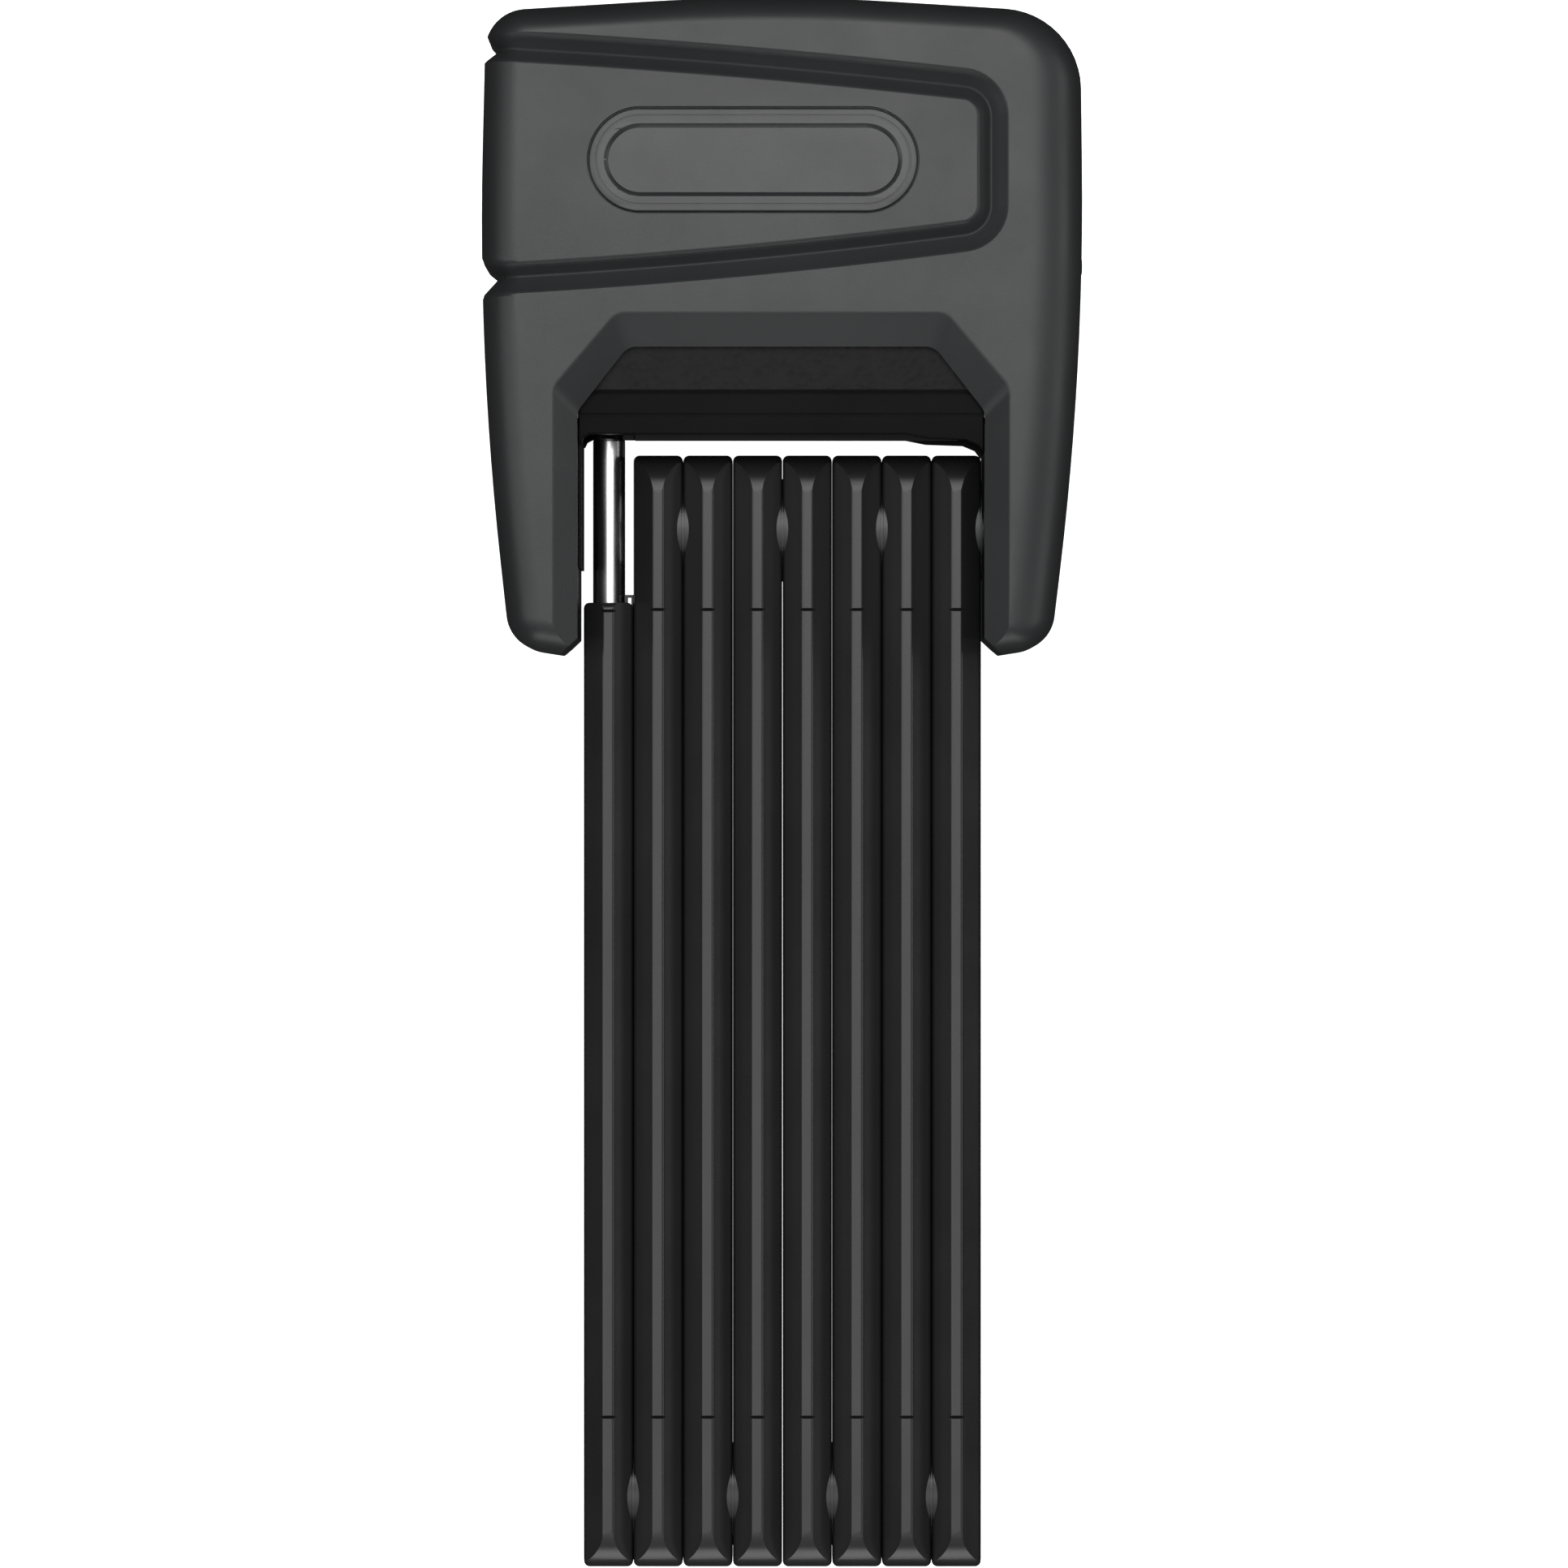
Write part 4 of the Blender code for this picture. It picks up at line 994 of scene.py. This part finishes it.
def make_liner():
    """The black inner frame: front and rear plates, the roof over the bars and the left lining."""
    low, high = corners_of("bay_liner")
    case_low = corners_of("lock_case")[0]
    lid_front = corners_of("case_lid")[1].z
    left, right = low.x - 0.2 * MM, high.x + 0.2 * MM
    beyond = (left - MM, right + MM)
    liner = plate("liner", liner_edge(low.y, left, right, 69.5 * MM), low.z, high.z, 0.25 * MM)
    case_y, case_z = (case_low.y - 0.3 * MM, 71 * MM), (case_low.z - 0.3 * MM, lid_front + 0.3 * MM)
    bolt_x, bolt_y = (left - MM, BAR_X[1] + 3.2 * MM), (low.y - 2 * MM, BAY_TOP)
    cut(
        liner,
        box("case_space", beyond, case_y, case_z),
        box("bolt_space", bolt_x, bolt_y, (MID - 12 * MM, MID + 12 * MM)),
    )
    for z, toward in ((high.z, 1), (low.z, -1)):
        for y, deep in ((60.05 * MM, 0.5 * MM), (56.7 * MM, 0.35 * MM)):
            faces = sorted((z - toward * deep, z + toward * MM))
            cut(liner, box("step", beyond, (y, y + 0.5 * MM), faces))
    ear = box("ear", (left, left + 0.4 * MM), (33.4 * MM, low.y + MM), (8 * MM, 36 * MM))
    ledge_back = high.z - 1.5 * MM
    ledge_y, ledge_z = (low.y - 1.05 * MM, low.y + MM), (ledge_back, high.z - 0.5 * MM)
    ledge = box("ledge", (-22.7 * MM, 27 * MM), ledge_y, ledge_z)
    nub_y, nub_z = (low.y - 0.95 * MM, low.y + MM), (ledge_back, high.z - 1.1 * MM)
    nub = box("nub", (-24.6 * MM, -23 * MM), nub_y, nub_z)
    join(liner, ear, ledge, nub)
    show(liner, "lock_body", "liner", ["bay_liner"])
    make_texture_plate("texture_front", (left, right), (high.z + 0.05 * MM, high.z + 0.45 * MM))
    make_texture_plate("texture_rear", (left, right), (low.z - 0.45 * MM, low.z - 0.05 * MM))


def make_texture_plate(name, sides, depth):
    """A thin pebbled plate on the liner's face, above the upper step."""
    middle, half = sum(sides) / 2, (sides[1] - sides[0]) / 2 - 0.4 * MM
    corners = block(half, 60.8 * MM, 69.2 * MM, 0.3 * MM)
    outline = rounded([(middle + x, y, radius) for x, y, radius in corners], steps=3)
    show(plate(name, outline, *depth, 0.1 * MM), "lock_body", "pebbled")


def make_key_cover():
    """The sliding keyhole cover with its grip rib and two rows of fine ridges."""
    low, high = corners_of("key_cover")
    half_z, half_y = (high.z - low.z) / 2, (high.y - low.y) / 2
    lying = Matrix.Translation((0, 0, MID)) @ ACROSS_X
    face = low.x + 1.4 * MM
    outline = rounded(block(half_z, CYLINDER_Y - half_y, CYLINDER_Y + half_y, 2 * MM))
    cover = plate("keyhole_cover", outline, low.x, face, 0.3 * MM, lying)
    # Each rib's place along the lock, how proud it stands and its half thickness
    ribs = [(CYLINDER_Y, high.x - face, 1.25 * MM)]
    for side in (1, -1):
        ribs += [(CYLINDER_Y + side * (3.6 + 1.6 * i) * MM, 0.3 * MM, 0.4 * MM) for i in range(3)]
    for y, proud, half in ribs:
        outline = rounded(block(RIB_HALF_WIDE, y - half, y + half, half), steps=8)
        edge = min(0.25 * MM, proud * 0.6)
        join(cover, plate("rib", outline, face - 0.5 * MM, face + proud, edge, lying))
    show(cover, "key_cover", "liner", ["key_cover"])


def make_cylinder():
    """The lock cylinder's smooth body and plug, with the keyway in its face."""
    low, high = corners_of("cylinder_body")
    plug_low, plug_high = corners_of("cylinder_plug")
    rim, step = 0.3 * MM, 42.5 * MM
    length = high.x - low.x
    body = [
        (PLUG_HOLE, 0),
        (CYLINDER_RADIUS - rim, 0),
        (CYLINDER_RADIUS, rim),
        (CYLINDER_RADIUS, step),
        (NOSE_RADIUS, step),
        (NOSE_RADIUS, length - rim),
        (NOSE_RADIUS - rim, length),
        (PLUG_HOLE, length),
        (PLUG_HOLE, 0),
    ]
    cylinder = turned("lock_cylinder", body, (low.x, CYLINDER_Y, MID), (1, 0, 0))
    show(cylinder, "lock_body", "brass", ["cylinder_body"])
    length = plug_high.x - plug_low.x
    floor = 39 * MM - plug_low.x
    profile = [
        (0, floor),
        (PLUG_INSIDE, floor),
        (PLUG_INSIDE, 0),
        (PLUG_RADIUS, 0),
        (PLUG_RADIUS, length - rim),
        (PLUG_RADIUS - rim, length),
        (4.2 * MM, length),
        (3.9 * MM, length - rim),
        (0, length - rim),
    ]
    plug = turned("plug_barrel", profile, (plug_low.x, CYLINDER_Y, MID), (1, 0, 0))
    thin = (MID - MM, MID + MM)
    key_y = (CYLINDER_Y - 3.6 * MM, CYLINDER_Y + 3.6 * MM)
    side_bar_y = (CYLINDER_Y + 4 * MM, CYLINDER_Y + 8 * MM)
    cut(plug, box("keyway", (36 * MM, 46 * MM), key_y, thin))
    cut(plug, box("bar_slot", (2 * MM, 31 * MM), side_bar_y, thin))
    show(plug, "plug", "brass", ["cylinder_plug"])


def make_screws():
    """The four cover screws with six-lobed recesses in their heads."""
    head, shank, point = 2.2 * MM, 1.15 * MM, 0.3 * MM
    head_thick, recess_deep = 1.5 * MM, 0.9 * MM
    lobe_steps = 48
    for i, node in enumerate(SCREW_NODES, 1):
        low, high = corners_of(node)
        at = centre_of(node)
        length = high.z - low.z
        profile = [
            (0, 0),
            (head - 0.3 * MM, 0),
            (head, 0.35 * MM),
            (head, head_thick),
            (shank, head_thick),
            (shank, length - 0.8 * MM),
            (point, length),
            (0, length),
        ]
        screw = turned(f"screw_{i}", profile, (at.x, at.y, low.z), (0, 0, 1))
        recess = []
        for step in range(lobe_steps):
            angle = math.tau * step / lobe_steps
            radius = (1.05 + 0.2 * math.cos(6 * angle)) * MM
            recess.append((at.x + radius * math.cos(angle), at.y + radius * math.sin(angle)))
        cut(screw, plate("recess", recess, low.z - MM, low.z + recess_deep))
        show(screw, "lock_body", "plated", [node])


def finish_kept_nodes():
    """Give the CAD nodes that stay their metals."""
    kept = {
        "steel": [f"bar_{k}_core" for k in range(1, BARS + 1)],
        "plated": [
            "bolt_pin",
            "lock_case",
            "case_lid",
            "hinge_tab",
            "bolt_guide",
            "locking_slide",
            "side_bar",
            "cylinder_cam",
        ],
        "brass": [f"cylinder_disc_{i}" for i in range(1, 6)],
    }
    for finish, nodes in kept.items():
        for node in nodes:
            for material_slot in frame["nodes"][node].material_slots:
                material_slot.material = FINISH[finish]


make_camera()
make_stage()
make_bars()
make_bolt()
make_covers()
make_badge()
make_liner()
make_key_cover()
make_cylinder()
make_screws()
finish_kept_nodes()
